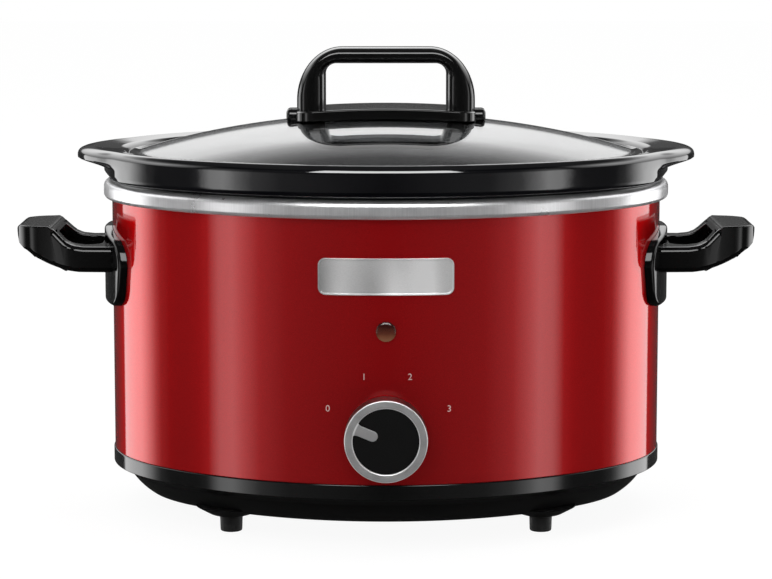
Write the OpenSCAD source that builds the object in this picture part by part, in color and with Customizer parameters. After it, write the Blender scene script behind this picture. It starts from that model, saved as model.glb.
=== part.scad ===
// Oval slow cooker: a steel heating base on a moulded pan, a stoneware crock and a glass lid.
// Millimetres, +Z up. The origin is on the table under the middle of the oval; the front is -Y.
// Names that end in _z are heights above the table. A point [u, z] of an oval profile lies
// u outside the shell's outer face, so u is negative inside the body.

/* [Body] */
// Length of the oval, over the steel shell
body_l = 290; // [280:1:310]
// Width of the oval, over the steel shell
body_w = 232.4; // [226:0.2:246]
// Sheet thickness of the shell
shell_t = 0.8; // [0.6:0.1:1.2]
// Height of the shell, from the pan to the liner's crown
shell_h = 141; // [130:1:160]

/* [Base pan] */
// Height of each rubber foot below its boss
foot_h = 8.7; // [6:0.1:14]
// Diameter of the rubber feet
foot_d = 11.8; // [10:0.1:14]
// Distance of the feet to the left and right of the middle
foot_x = 79.8; // [60:0.2:84]
// Distance of the feet in front of and behind the middle
foot_y = 65; // [50:0.5:68]
// Drop of the foot bosses below the pan
boss_h = 3.1; // [2:0.1:6]
// Wall thickness of the pan
pan_t = 2.5; // [2:0.1:3.5]
// Height of the pan's curved belly
belly_h = 11.1; // [9:0.1:14]
// Inset of the belly's upper edge
belly_top_in = 7.3; // [6:0.1:9]
// Inset of the pan's flat bottom
belly_low_in = 17.8; // [15:0.1:22]
// Height of the sloped step between belly and band
step_h = 3.6; // [3:0.1:5]
// Height of the glossy band under the shell
band_h = 7.7; // [6:0.1:12]
// How far the band stands out from the shell
band_out = 0.6; // [0.2:0.1:1.5]
// Height of the lip that centres the shell
lip_h = 6; // [4:0.5:10]

/* [Liner] */
// Sheet thickness of the liner
liner_t = 0.8; // [0.6:0.1:1.2]
// Height of the well's floor above the pan's floor
well_up = 56.5; // [52:0.1:66]
// Distance of the well's mouth from the shell's outer face
mouth_in = 13.1; // [12.5:0.1:14]
// Inward slope of the well's wall, mm per mm of depth
draft = 0.108; // [0.09:0.001:0.12]
// Radius of the well's lower corner
well_r = 18; // [14:0.5:20]
// How far the rolled rim stands out from the shell
bead_out = 3.5; // [2.5:0.1:5]
// Height of the rolled rim
bead_h = 9; // [7:0.1:12]

/* [Crock] */
// Gap between the crock's wall and the well
crock_gap = 1.5; // [1:0.1:2]
// Gap between the crock's bottom and the well's floor
crock_lift_gap = 1.2; // [0.8:0.1:2]
// Thickness of the crock's wall
crock_wall = 7; // [6:0.1:9]
// Thickness of the crock's floor
crock_floor = 8; // [6:0.1:10]
// How far the crock's flange stands out from the shell
flange_out = 8; // [7:0.1:10]
// Height of the flange's crest above the crown
flange_h = 18; // [16:0.1:20]
// Height of the neck under the flange
neck_h = 2.4; // [1.5:0.1:4]
// Depth of the lid's ledge below the crest
ledge_drop = 6.2; // [5:0.1:7]
// Inset of the ledge's inner edge from the shell
ledge_in = 16; // [15:0.1:18]
// Reach of the two end lugs past the flange
lug_reach = 10; // [6:0.5:14]
// Thickness of a lug at its tip
lug_t = 7.4; // [6:0.1:9]
// Radius of a lug, seen from above
lug_r = 62; // [55:1:70]

/* [Lid] */
// Thickness of the glass
glass_t = 3.4; // [3:0.1:5]
// Gap between the glass and the ledge's outer edge
glass_gap = 0.8; // [0.5:0.1:1.5]
// Width of the flat flange round the dome
glass_flange = 4.7; // [3:0.1:6]
// Rise of the dome above its flange
dome_h = 18.4; // [14:0.1:24]
// Fullness of the dome's curve, 2 is a parabola
dome_k = 2.6; // [2:0.1:3]

/* [Lid handle] */
// Height of the arch above the dome's top
arch_h = 36.2; // [30:0.1:50]
// Half of the arch's width at its base
arch_half = 47; // [42:0.1:50]
// Width of each leg
leg_w = 15.9; // [12:0.1:18]
// Thickness of the bar
bar_t = 8.7; // [7:0.1:12]
// Radius of the arch's shoulders
shoulder_r = 24; // [18:0.5:28]
// Depth of the arch, front to back
arch_d = 22; // [18:0.5:26]
// Depth of the base plate, front to back
plate_d = 48; // [40:0.5:56]
// Height of the base plate's top above the dome's top
plate_h = 4.9; // [4:0.1:7]
// Reach of the two end ears past the plate
ear_reach = 5.5; // [4:0.5:8]
// Width of an ear, front to back
ear_w = 16; // [10:0.5:20]

/* [Side handles] */
// Height of the brackets' middle above the shell's lower edge
handle_up = 97.3; // [90:0.1:100]
// Width of a bracket, front to back
bracket_w = 92; // [84:1:98]
// Height of a bracket
bracket_h = 41; // [38:1:46]
// Thickness of a bracket
bracket_t = 4; // [3:0.1:5]
// Reach of the grip past the shell
grip_reach = 49.5; // [46:0.5:56]
// Width of the grip from front to back
grip_w = 54; // [50:1:60]
// Width of the finger gap from front to back
gap_w = 40; // [38:1:42]
// Depth of the finger gap along the handle
gap_l = 23; // [20:0.5:26]
// Thickness of the arms at the bracket
arm_t = 13.4; // [12:0.1:15]
// Rise of the grip's top above the brackets' middle
grip_up = 21.8; // [20:0.1:26]

/* [Control knob] */
// Height of the knob's axis above the shell's lower edge
knob_up = 24.8; // [23:0.1:26]
// Diameter of the knob
knob_d = 41.2; // [38:0.1:46]
// Depth of the knob
knob_t = 14; // [12:0.1:18]
// Diameter of the black face inside the ring
face_d = 32.8; // [28:0.1:34]
// Width of the pointer
pointer_w = 5.2; // [3:0.1:7]
// Distance of the pointer's round tip from the axis
pointer_in = 4.6; // [4:0.1:8]
// Diameter of the switch's shaft
shaft_d = 6; // [5:0.1:6.5]
// Angle of one switch step
step_a = 45; // [30:1:60]

/* [Light and badge] */
// Height of the pilot lens above the shell's lower edge
lens_up = 77.3; // [70:0.1:84]
// Diameter of the pilot lens
lens_d = 10; // [9:0.1:12]
// Height of the badge's middle above the shell's lower edge
badge_up = 104.6; // [98:0.1:112]
// Length of the badge
badge_l = 67.2; // [50:0.1:80]
// Height of the badge
badge_h = 18.3; // [14:0.1:22]
// Thickness of the badge
badge_t = 0.8; // [0.5:0.1:1.2]

/* [Heater] */
// Height of the heating band
heater_h = 38; // [30:1:42]
// Thickness of the heating band
heater_t = 2.2; // [1.6:0.1:2.6]
// Width of the gap between the band's two ends
heater_gap = 14; // [12:0.5:18]
// Reach of the band's clamping ears
tab_l = 12; // [11:0.5:13]
// Height of the heat shield above the pan's floor
shield_up = 36; // [28:1:40]
// Inset of the heat shield's edge from the shell
shield_in = 42; // [40:1:50]

/* [Cord inlet] */
// Height of the gland's nut above the pan's lip
gland_gap = 1; // [0.5:0.5:8]
// Diameter of the bore for the cord
cord_bore = 7.2; // [6:0.1:8]
// Diameter of the gland's body
gland_d = 16; // [14:0.1:18]
// Reach of the gland's snout past the shell
gland_out = 13; // [12:0.5:14]

/* [Hidden] */
$fn = 96;
fit = 0.15;            // radial clearance of a pin in a fixed hole
run_fit = 0.1;         // radial clearance of the turning shaft
seat = 0.2;            // gap between a curved face and what is fastened to it
far = 1000;            // reaches past the middle of any profile
lap = 0.00001;         // neighbouring arcs of the oval run this far into each other
through = 10;          // length of a cut that only has to pass a sheet
over = 1;              // a cut starts this far outside what it cuts
sunk = 0.5;            // a boss starts this far inside what it stands on
screw_room = 0.5;      // depth of a screw's hole past its end
gland_nut_wall = 3;    // wall of the ring nut behind the cord gland
m4_r = 2;              // shank radius of the M4 screws
m4_head_r = 3.9;
m4_head_h = 2.4;
m4_nut_r = 4.04;       // corner radius of the M4 nut, 7 across its flats
m4_nut_h = 3.2;

// The four-arc oval: two end arcs and two side arcs, which meet tangentially on lines that
// rise 21 for every 20 along. As 20, 21 and 29 make a right triangle, every length below
// stays a round number, so the arcs meet exactly. The end centres are on tenths.
join = [20, 21];
join_a = atan2(join[1], join[0]);
oval_d = round(10*(body_l - body_w)/1.2)/10;
end_r = body_l/2 - oval_d;
side_c = oval_d*join[1]/join[0];
side_r = end_r + oval_d*29/join[0];

// Heights
heater_gap_z = 1.5;    // the heating band starts this far above the well's corner
pan_z = foot_h + boss_h;
floor_z = pan_z + pan_t;
step_z = pan_z + belly_h;
band_z = step_z + step_h;
shell_z = band_z + band_h;
shell_top = shell_z + shell_h;
crown_z = shell_top + liner_t;
well_z = floor_z + well_up;
crock_z = well_z + crock_lift_gap;
crest_z = crown_z + flange_h;
ledge_z = crest_z - ledge_drop;
glass_z = ledge_z + glass_t;
dome_z = glass_z + dome_h;
knob_z = shell_z + knob_up;
lens_z = shell_z + lens_up;
badge_z = shell_z + badge_up;
handle_z = shell_z + handle_up;
gland_z = shell_z + lip_h + gland_gap + gland_d/2 + gland_nut_wall;
heater_z = well_z + well_r + heater_gap_z;
shield_z = floor_z + shield_up;
liner_low = well_z - liner_t;

// Insets that two or more pieces share
recess_in = flange_out;
glass_in = recess_in + glass_gap;
dome_in = glass_in + glass_flange;
dome_x = body_l/2 - dome_in;
dome_y = body_w/2 - dome_in;
lip_in = shell_t + fit;
lip_t = 2;
mouth_r = 3;
crown_in = mouth_in - mouth_r;
front_y = -body_w/2;
rear_y = body_w/2;

// Control knob and switch, along the knob's axis
bush_r = 4.9;
bush_hole_r = bush_r + fit;
knob_gap = 1;
knob_back = front_y - knob_gap;
knob_front = knob_back - knob_t;
ring_t = 2;
face_sink = 0.6;
nut_h = 2.4;
nut_r = 7.5;
switch_w = 26;
switch_h = 26;
switch_d = 20;
switch_wall = 2;
switch_gap = 0.9;
switch_front = front_y + shell_t + switch_gap;
switch_back = switch_front + switch_d;
rotor_gap = 1;
rotor_r = 9.5;
cavity_r = rotor_r + rotor_gap;
cover_t = 1.6;
bush_past = 1.4;
bush_front = front_y - seat - nut_h - bush_past;
shaft_in = 4;
shaft_front = knob_front + ring_t + shaft_in;
shaft_back = switch_back + cover_t - 2*fit;

// Fixings
handle_screw_a = 15;
handle_screw_l = 12;
stud_r = 2.5;
washer_t = 1.2;
spacer_r = 4.5;
badge_pin_a = 8;
badge_pin_r = 1.1;
badge_pin_l = 5;
badge_r = 3;
clip_t = 0.6;
clip_wall = 3;
lens_stem_r = lens_d/2 - 1;
lid_screw_x = 38;
lid_screw_l = 18;

// ---- Shapes shared by the pieces ----

// Turns a profile of [u, z] points into radii round an arc's centre, on thousandths
function from_centre(profile, r) =
    [for (p = profile) [max(0, r + round(1000*p[0])/1000), round(1000*p[1])/1000]];

// Sweeps a profile of [u, z] points round the oval: each arc is a ring cut to its own sector
module oval_sweep(profile) {
    spread = 20;
    reach = oval_d + spread*join[0];
    rise = spread*join[1];
    for (side = [-1, 1]) {
        intersection() {
            translate([side*oval_d, 0, 0]) rotate_extrude() polygon(from_centre(profile, end_r));
            linear_extrude(far)
                polygon([[side*(oval_d - lap), 0], [side*(reach - lap), -rise], [side*(reach - lap), rise]]);
        }
        intersection() {
            translate([0, -side*side_c, 0]) rotate_extrude() polygon(from_centre(profile, side_r));
            linear_extrude(far)
                polygon([[-oval_d, 0], [oval_d, 0], [reach, side*rise], [-reach, side*rise]]);
        }
    }
}

// Everything near the body that lies more than u outside the shell, between two heights
module outside(u, low, top) band_round(u, body_l/2, low, top);

// Upright band round the body, from offset u0 to u1
module band_round(u0, u1, low, top) oval_sweep([[u0, low], [u1, low], [u1, top], [u0, top]]);

// The oval's point at offset u whose normal points at angle a
function oval_at(a, u) = abs(sin(a)) > sin(join_a)
    ? [(side_r + u)*cos(a), (side_r + u)*sin(a) - sign(sin(a))*side_c]
    : [sign(cos(a))*oval_d + (end_r + u)*cos(a), (end_r + u)*sin(a)];

// Points of an arc round c, of radius r, from angle a0 to a1 in n steps
function arc(c, r, a0, a1, n) =
    [for (i = [0 : n]) let (a = a0 + (a1 - a0)*i/n) [c[0] + r*cos(a), c[1] + r*sin(a)]];

// Points from p to q on a shallow curve that bulges by s to the right of the way there
function bulge(p, q, s, n) =
    [for (i = [0 : n]) let (t = i/n, d = (q - p)/norm(q - p)) p + (q - p)*t + 4*t*(1 - t)*s*[d[1], -d[0]]];

// Rectangle w by h round the origin with corners of radius r
function rounded(w, h, r) = concat(
    arc([w/2 - r, h/2 - r], r, 0, 90, 6),
    arc([r - w/2, h/2 - r], r, 90, 180, 6),
    arc([r - w/2, r - h/2], r, 180, 270, 6),
    arc([w/2 - r, r - h/2], r, 270, 360, 6));

// Children's +Z points out of the shell's front at angle a, and out of its end or rear below
module on_front(a, z)
    translate([0, side_c, z]) rotate([0, 0, a]) translate([0, -side_r, 0]) rotate([90, 0, 0]) children();
module on_end(a, z)
    translate([oval_d, 0, z]) rotate([0, 0, a]) translate([end_r, 0, 0]) rotate([0, 90, 0]) children();
module on_rear(a, z) rotate([0, 0, 180]) on_front(a, z) children();

// Children's +Z points along -Y, from the given y on the knob's axis
module on_knob(y) translate([0, y, knob_z]) rotate([90, 0, 0]) children();

module tube(r, hole_r, h) {
    difference() {
        cylinder(r = r, h = h);
        translate([0, 0, -over]) cylinder(r = hole_r, h = h + 2*over);
    }
}

// Screw with its head under z = 0 and its shank above
module screw(r, l, head_r, head_h) {
    translate([0, 0, -head_h]) cylinder(r = head_r, h = head_h);
    cylinder(r = r, h = l);
}

module hex_nut(r, hole_r, h) {
    difference() {
        cylinder(r = r, h = h, $fn = 6);
        translate([0, 0, -over]) cylinder(r = hole_r, h = h + 2*over);
    }
}

// ---- Heating base: shell, liner, pan, feet ----

module outer_shell() {
    color("firebrick")
        difference() {
            band_round(-shell_t, 0, shell_z, shell_top);
            on_front(0, knob_z) through_shell(bush_hole_r);
            on_front(0, lens_z) through_shell(lens_stem_r + fit);
            for (a = [-badge_pin_a, badge_pin_a])
                on_front(a, badge_z) through_shell(badge_pin_r + fit);
            on_rear(0, gland_z) through_shell(gland_d/2 + fit);
            for (turn = [0, 180], a = [-handle_screw_a, handle_screw_a])
                rotate([0, 0, turn]) on_end(a, handle_z) through_shell(m4_r + fit);
        }
}

module through_shell(r) translate([0, 0, -through/2]) cylinder(r = r, h = through);

// Inset of the well's wall at height z, measured on its inner face
function well_in(z) = mouth_in + (crown_z - z)*draft;

module inner_liner() {
    bead_z = crown_z - bead_h;
    curl_in = 0.4;
    roll_r = 3;
    hem_r = 1.5;
    t = liner_t;
    corner_z = well_z + well_r;
    corner_in = well_in(corner_z) + well_r;
    mouth_z = crown_z - mouth_r;
    soft = 0.9;
    color("gainsboro")
        oval_sweep(concat(
            [[curl_in, bead_z]],
            arc([bead_out - hem_r, bead_z + hem_r], hem_r, -90, 0, 4),
            arc([bead_out - roll_r, crown_z - roll_r], roll_r, 0, 90, 4),
            [[-crown_in, crown_z], [-mouth_in + soft, crown_z - soft], [-well_in(mouth_z), mouth_z]],
            arc([-corner_in, corner_z], well_r, 0, -90, 6),
            [[-far, well_z], [-far, well_z - t]],
            arc([-corner_in, corner_z], well_r + t, -90, 0, 6),
            [[-well_in(mouth_z) + t, mouth_z], [-crown_in, crown_z - t]],
            arc([bead_out - roll_r, crown_z - roll_r], roll_r - t, 90, 0, 4),
            arc([bead_out - hem_r, bead_z + hem_r], hem_r - t, 0, -90, 4),
            [[curl_in, bead_z + t]]));
}

module base_pan() {
    edge = 0.7;
    belly = 0.9;
    low = [-belly_low_in, pan_z];
    top = [-belly_top_in, step_z];
    in = [-pan_t, pan_t/2];
    color("#1c1c1e")
        difference() {
            union() {
                oval_sweep(concat(
                    [[band_out, shell_z], [band_out, band_z + edge], [band_out - edge, band_z]],
                    bulge(top, low, -belly, 5),
                    [[-far, pan_z], [-far, floor_z]],
                    bulge([-belly_low_in - pan_t/3, floor_z], top + in, belly, 5),
                    [[-lip_in - lip_t, band_z + pan_t], [-lip_in - lip_t, shell_z + lip_h]],
                    [[-lip_in, shell_z + lip_h], [-lip_in, shell_z]]));
                at_feet() foot_boss();
                translate([block_x, block_y, floor_z - sunk]) block_posts();
            }
            at_feet() translate([0, 0, foot_h - over]) cylinder(r = stem_r + fit, h = bolt_way);
            translate([0, 0, pan_z - over]) cylinder(r = stud_r + fit, h = pan_t + 2*over);
            for (x = [-vent_n : vent_n], side = [-1, 1])
                translate([x*vent_pitch, side*vent_y, pan_z - over]) vent_slot();
            translate([block_x, block_y, floor_z - over])
                for (x = [-block_screw_x, block_screw_x])
                    translate([x, 0, 0]) cylinder(r = block_screw_r + fit, h = bolt_way);
        }
}

vent_n = 4;
vent_pitch = 9;
vent_y = 36;
vent_w = 3;
vent_l = 24;
module vent_slot() linear_extrude(pan_t + 2*over) polygon(rounded(vent_w, vent_l, 0.47*vent_w));

// Length of the cuts through the foot posts and the block's posts
bolt_way = 20;

module at_feet()
    for (x = [-foot_x, foot_x], y = [-foot_y, foot_y])
        translate([x, y, 0]) children();

boss_r = 14.5;
boss_rim = 1.2;
post_h = 5.7;
post_wall = 3;
stem_r = 3;
barb = 1;
barb_h = 3;
module foot_boss() {
    translate([0, 0, foot_h]) cylinder(r1 = foot_d/2 + boss_rim, r2 = boss_r, h = boss_h);
    translate([0, 0, pan_z]) cylinder(r = stem_r + post_wall, h = pan_t + post_h);
}

// One rubber foot: pad, stem and the barb that snaps over the boss's post
module foot(x, y) {
    barb_z = floor_z + post_h + fit;
    color("#161616")
        translate([x, y, 0]) {
            cylinder(r = foot_d/2, h = foot_h);
            translate([0, 0, foot_h - sunk]) cylinder(r = stem_r, h = barb_z - foot_h + 2*sunk);
            translate([0, 0, barb_z]) cylinder(r1 = stem_r + barb, r2 = stem_r - barb, h = barb_h);
        }
}

// ---- Side handles ----

module left_handle() color("#17171a") mirror([1, 0, 0]) side_handle();
module right_handle() color("#17171a") side_handle();

module side_handle() {
    root_x = body_l/2;
    difference() {
        union() {
            intersection() {
                band_round(seat, seat + bracket_t, handle_z - bracket_h, handle_z + bracket_h);
                translate([root_x/2, 0, handle_z]) rotate([90, 0, 90])
                    linear_extrude(root_x) polygon(bracket_outline());
            }
            intersection() {
                translate([0, bracket_w, handle_z]) rotate([90, 0, 0])
                    linear_extrude(2*bracket_w) polygon(grip_side(root_x));
                translate([0, 0, handle_z - bracket_h]) linear_extrude(2*bracket_h)
                    difference() {
                        polygon(grip_plan(root_x));
                        translate([gap_middle(root_x), 0]) polygon(rounded(gap_l, gap_w, 0.3*gap_l));
                    }
                outside(seat, handle_z - bracket_h, handle_z + bracket_h);
            }
        }
        for (a = [-handle_screw_a, handle_screw_a])
            on_end(a, handle_z) translate([0, 0, -over])
                cylinder(r = m4_r + fit, h = over + handle_screw_l + screw_room);
    }
}

// Bracket's outline seen along the handle, as [y, z] from its middle: it narrows downwards,
// and its top is a shallow arch
function bracket_outline() =
    let (w = bracket_w/2, h = bracket_h/2, r = 0.17*bracket_w, foot_r = 0.11*bracket_w,
         arch = 0.07*bracket_h, pinch = 2)
    concat(
        arc([w - r, h - r - arch], r, 0, 62, 6),
        [[w/4, h], [-w/4, h]],
        arc([r - w, h - r - arch], r, 118, 180, 6),
        arc([foot_r - w + pinch, foot_r - h], foot_r, 188, 270, 6),
        arc([w - foot_r - pinch, foot_r - h], foot_r, -90, -8, 6));

// The finger gap starts this far from the shell; the arms' root sits above the bracket's middle
gap_in = 5;
arm_rise = 5;
nose_r = 3;

// Grip and arms from the side, as [x, z] from the bracket's middle height: the grip stands up
// at the outer end, with a step down to the arms over the finger gap
function grip_side(x) =
    let (tip = x + grip_reach, root = x - 2*bracket_t, edge = x + gap_in + gap_l, low = arm_rise - arm_t/2,
         step = grip_up - low - arm_t)
    concat(
        [[root, low]],
        bulge([tip - 0.69*grip_reach, low], [tip - nose_r/2, grip_up - 3.2*nose_r], nose_r, 8),
        arc([tip - nose_r, grip_up - nose_r], nose_r, 0, 90, 4),
        [[edge + 3.5, grip_up], [edge + 0.6, grip_up - 0.17*step], [edge - 5.5, grip_up - 0.76*step]],
        [[edge - 9, grip_up - 0.93*step], [edge - 15, low + arm_t], [root, low + arm_t]]);

// Grip and arms from above: the arms leave the bracket near its edges and close in on the grip
function grip_plan(x) =
    let (w = grip_w/2, root = 0.385*bracket_w, tip = x + grip_reach, neck = x + gap_in + gap_l, r = 11,
         side = concat([[x - 5*bracket_t, -root], [x + bracket_t, -root], [x + 3*bracket_t, 3 - root]],
                       [[neck, -w - 0.5]], arc([tip - r, r - w], r, -84, 0, 6)))
    concat(side, [for (i = [len(side) - 1 : -1 : 0]) [side[i][0], -side[i][1]]]);

function gap_middle(x) = x + gap_in + gap_l/2;

module handle_screws() {
    color("silver")
        for (turn = [0, 180], a = [-handle_screw_a, handle_screw_a])
            rotate([0, 0, turn]) on_end(a, handle_z)
                translate([0, 0, -shell_t - seat])
                    screw(m4_r, handle_screw_l + shell_t, m4_head_r, m4_head_h);
}

// ---- Badge and pilot light ----

module badge_plate() {
    color("lightgray") {
        intersection() {
            band_round(seat, seat + badge_t, badge_z - badge_h, badge_z + badge_h);
            translate([0, 0, badge_z]) rotate([90, 0, 0])
                linear_extrude(body_w) polygon(rounded(badge_l, badge_h, badge_r));
        }
        for (a = [-badge_pin_a, badge_pin_a])
            on_front(a, badge_z) translate([0, 0, -badge_pin_l])
                cylinder(r = badge_pin_r, h = badge_pin_l + seat + badge_t/2);
    }
}

module badge_clips() {
    color("silver")
        for (a = [-badge_pin_a, badge_pin_a])
            on_front(a, badge_z)
                translate([0, 0, -shell_t - seat - clip_t])
                    tube(badge_pin_r + clip_wall, badge_pin_r + fit/2, clip_t);
}

lens_cap = 0.9;
lens_bevel = 1.6;
lens_l = 7;
lens_wall = 1.4;
lamp_r = lens_stem_r - lens_wall;
lamp_tail = 3.5;
module pilot_lens() {
    color("#8a5a2a")
        on_front(0, lens_z)
            difference() {
                union() {
                    translate([0, 0, seat]) cylinder(r = lens_d/2, h = lens_cap);
                    translate([0, 0, seat + lens_cap])
                        cylinder(r1 = lens_d/2, r2 = lens_d/2 - lens_bevel, h = lens_cap);
                    translate([0, 0, -lens_l]) cylinder(r = lens_stem_r, h = lens_l + sunk);
                }
                translate([0, 0, -lens_l - over]) cylinder(r = lamp_r + fit, h = lens_l + over - sunk);
            }
}

module lamp_clip() {
    color("silver")
        on_front(0, lens_z)
            translate([0, 0, -shell_t - seat - clip_t])
                tube(lens_stem_r + clip_wall, lens_stem_r + fit/2, clip_t);
}

module neon_lamp() {
    color("orange")
        on_front(0, lens_z)
            translate([0, 0, -lens_l - lamp_tail]) {
                cylinder(r = lamp_r, h = lens_l);
                translate([0, 0, lens_l]) sphere(r = lamp_r);
            }
}

// ---- Rotary switch ----

module switch_body() {
    color("ivory")
        difference() {
            union() {
                translate([-switch_w/2, switch_front, knob_z - switch_h/2])
                    cube([switch_w, switch_d, switch_h]);
                on_knob(switch_front + sunk) cylinder(r = bush_r, h = switch_front + sunk - bush_front);
            }
            on_knob(switch_back + over) cylinder(r = cavity_r, h = switch_d - switch_wall + over);
            on_knob(switch_back) cylinder(r = shaft_d/2 + run_fit, h = switch_d + switch_h);
        }
}

spade_x = 8;
spade_l = 6;
spade_drop = 7;
spade_w = 6.3;
spade_t = 0.8;
module switch_cover() {
    spade = [spade_t, spade_l, spade_w];
    color("tan")
        union() {
            difference() {
                translate([-switch_w/2, switch_back, knob_z - switch_h/2])
                    cube([switch_w, cover_t, switch_h]);
                on_knob(switch_back + cover_t + over)
                    cylinder(r = shaft_d/2 + run_fit, h = cover_t + 2*over);
            }
            for (x = [-spade_x, 0, spade_x])
                translate([x - spade[0]/2, switch_back + cover_t, knob_z - spade_drop - spade[2]/2])
                    cube(spade);
        }
}

module switch_nut() {
    color("silver") on_knob(front_y - seat) hex_nut(nut_r, bush_r + fit/2, nut_h);
}

module switch_shaft() {
    color("goldenrod")
        on_knob(shaft_back) cylinder(r = shaft_d/2, h = shaft_back - shaft_front);
}

module switch_rotor() {
    gap = 0.4;
    color("ivory")
        on_knob(switch_back - gap)
            tube(rotor_r, shaft_d/2, switch_d - switch_wall - 2*gap);
}

// ---- Control knob ----

ring_wall = 1;
ring_gap = 0.1;
ring_short = 1;
hub_r = knob_d/2 - ring_wall - ring_gap;
bush_gap = 0.6;
nut_room = 3;
module knob_hub() {
    well_front = bush_front - bush_gap;
    hub_front = knob_front + ring_t;
    color("#1a1a1c")
        difference() {
            on_knob(knob_back) cylinder(r = hub_r, h = knob_back - hub_front);
            on_knob(knob_back + over) cylinder(r = nut_r + nut_room, h = knob_back + over - well_front);
            on_knob(knob_back + over) cylinder(r = shaft_d/2, h = knob_back + over - shaft_front);
        }
}

module knob_ring() {
    skirt = knob_t - ring_short;
    edge = 0.7;
    wall = ring_wall;
    color("silver")
        on_knob(knob_front + skirt)
            rotate_extrude()
                polygon([[knob_d/2 - wall, 0], [knob_d/2, 0], [knob_d/2, skirt - edge],
                         [knob_d/2 - edge, skirt], [face_d/2 + edge, skirt], [face_d/2, skirt - edge],
                         [face_d/2, skirt - ring_t], [knob_d/2 - wall, skirt - ring_t]]);
}

module knob_face() {
    color("#202022")
        on_knob(knob_front + ring_t)
            cylinder(r = face_d/2, h = ring_t - face_sink);
}

// The pointer aims up and to the left at the first position
first_a = 1.5*step_a;
pointer_t = 0.4;
pointer_gap = 0.3;
module knob_pointer() {
    tip = pointer_in + pointer_w/2;
    color("silver")
        on_knob(knob_front + face_sink)
            rotate([0, 0, first_a])
                linear_extrude(pointer_t) {
                    translate([-pointer_w/2, tip]) square([pointer_w, face_d/2 - pointer_gap - tip]);
                    translate([0, tip]) circle(r = pointer_w/2);
                }
}

// ---- Heater and wiring parts ----

// Offset of the heating band's inner face at height z
band_gap = 0.3;
function band_u(z) = -well_in(z) + liner_t + band_gap;

module heating_band() {
    top = heater_z + heater_h;
    tab_y = band_y();
    color("#b9bcc0")
        difference() {
            union() {
                difference() {
                    oval_sweep([[band_u(heater_z), heater_z], [band_u(heater_z) + heater_t, heater_z],
                                [band_u(top) + heater_t, top], [band_u(top), top]]);
                    translate([-heater_gap/2, 0, heater_z - over])
                        cube([heater_gap, body_w, heater_h + 2*over]);
                }
                for (side = [0, 1]) mirror([side, 0, 0])
                    translate([heater_gap/2, tab_y - heater_t/2, tab_z() - tab_h/2])
                        cube([tab_t, tab_l, tab_h]);
            }
            translate([-far/2, tab_y + tab_l/2, tab_z()]) rotate([0, 90, 0])
                cylinder(r = m4_r + fit, h = far);
        }
}

tab_t = 2;
tab_h = 12;
function tab_z() = heater_z + heater_h/2;
function band_y() = body_w/2 + band_u(tab_z()) + heater_t;

module band_screw() {
    color("silver")
        translate([-heater_gap/2 - tab_t, band_y() + tab_l/2, tab_z()]) rotate([0, 90, 0])
            screw(m4_r, heater_gap + 2*tab_t + 1.6*m4_nut_h, 0.85*m4_head_r, m4_head_h);
}

module band_nut() {
    color("silver")
        translate([heater_gap/2 + tab_t, band_y() + tab_l/2, tab_z()]) rotate([0, 90, 0])
            hex_nut(m4_nut_r, m4_r + fit/2, m4_nut_h);
}

terminal_a = 12;
terminal_up = 6;
terminal_z = heater_z + terminal_up;
terminal_h = 6;
terminal_l = 7;
function terminal_r() = side_r + band_u(terminal_z + terminal_h) + heater_t + seat;

// Two spade terminals: a foot flat on the band and a blade that stands out from it
module heater_terminals() {
    color("goldenrod")
        for (a = [-terminal_a, terminal_a])
            translate([0, -side_c, terminal_z]) rotate([0, 0, a])
                translate([-spade_w/2, terminal_r(), 0]) {
                    cube([spade_w, terminal_l, spade_t]);
                    cube([spade_w, spade_t, terminal_h]);
                }
}

shield_t = 0.6;
shield_lip = 4;
module heat_shield() {
    t = shield_t;
    lip = shield_lip;
    color("silver")
        difference() {
            oval_sweep([[-shield_in, shield_z], [-far, shield_z], [-far, shield_z + t],
                        [-shield_in - t, shield_z + t], [-shield_in - t, shield_z + lip],
                        [-shield_in, shield_z + lip]]);
            translate([0, 0, shield_z - over]) cylinder(r = stud_r + fit, h = shield_t + 2*over);
        }
}

module lower_spacer() {
    color("#9a9da2") translate([0, 0, floor_z]) tube(spacer_r, stud_r + fit, shield_up);
}

weld_h = 1.5;
module upper_spacer() {
    low = shield_z + shield_t;
    color("#9a9da2")
        translate([0, 0, low]) tube(spacer_r, stud_r + fit, liner_low - weld_h - low);
}

stud_nut_h = 3.8;
stud_nut_r = 4.6;
stud_past = 1;
stud_rim = 5.5;
module tie_stud() {
    low = pan_z - washer_t - stud_nut_h - stud_past;
    color("silver") {
        translate([0, 0, low]) cylinder(r = stud_r, h = liner_low - low);
        translate([0, 0, liner_low - weld_h]) cylinder(r = stud_r + stud_rim, h = weld_h);
    }
}

module tie_washer() {
    color("silver") translate([0, 0, pan_z - washer_t]) tube(stud_r + stud_rim, stud_r + fit, washer_t);
}

module tie_nut() {
    color("silver")
        translate([0, 0, pan_z - washer_t - stud_nut_h])
            hex_nut(stud_nut_r, stud_r + fit/2, stud_nut_h);
}

fuse_x = 34;
fuse_y = 26;
fuse_r = 2.2;
fuse_l = 16;
fuse_gap = 0.1;
fuse_z = liner_low - fuse_r - fuse_gap;
module thermal_fuse() {
    color("white")
        translate([fuse_x - fuse_l/2, fuse_y, fuse_z]) rotate([0, 90, 0])
            cylinder(r = fuse_r, h = fuse_l);
}

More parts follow.
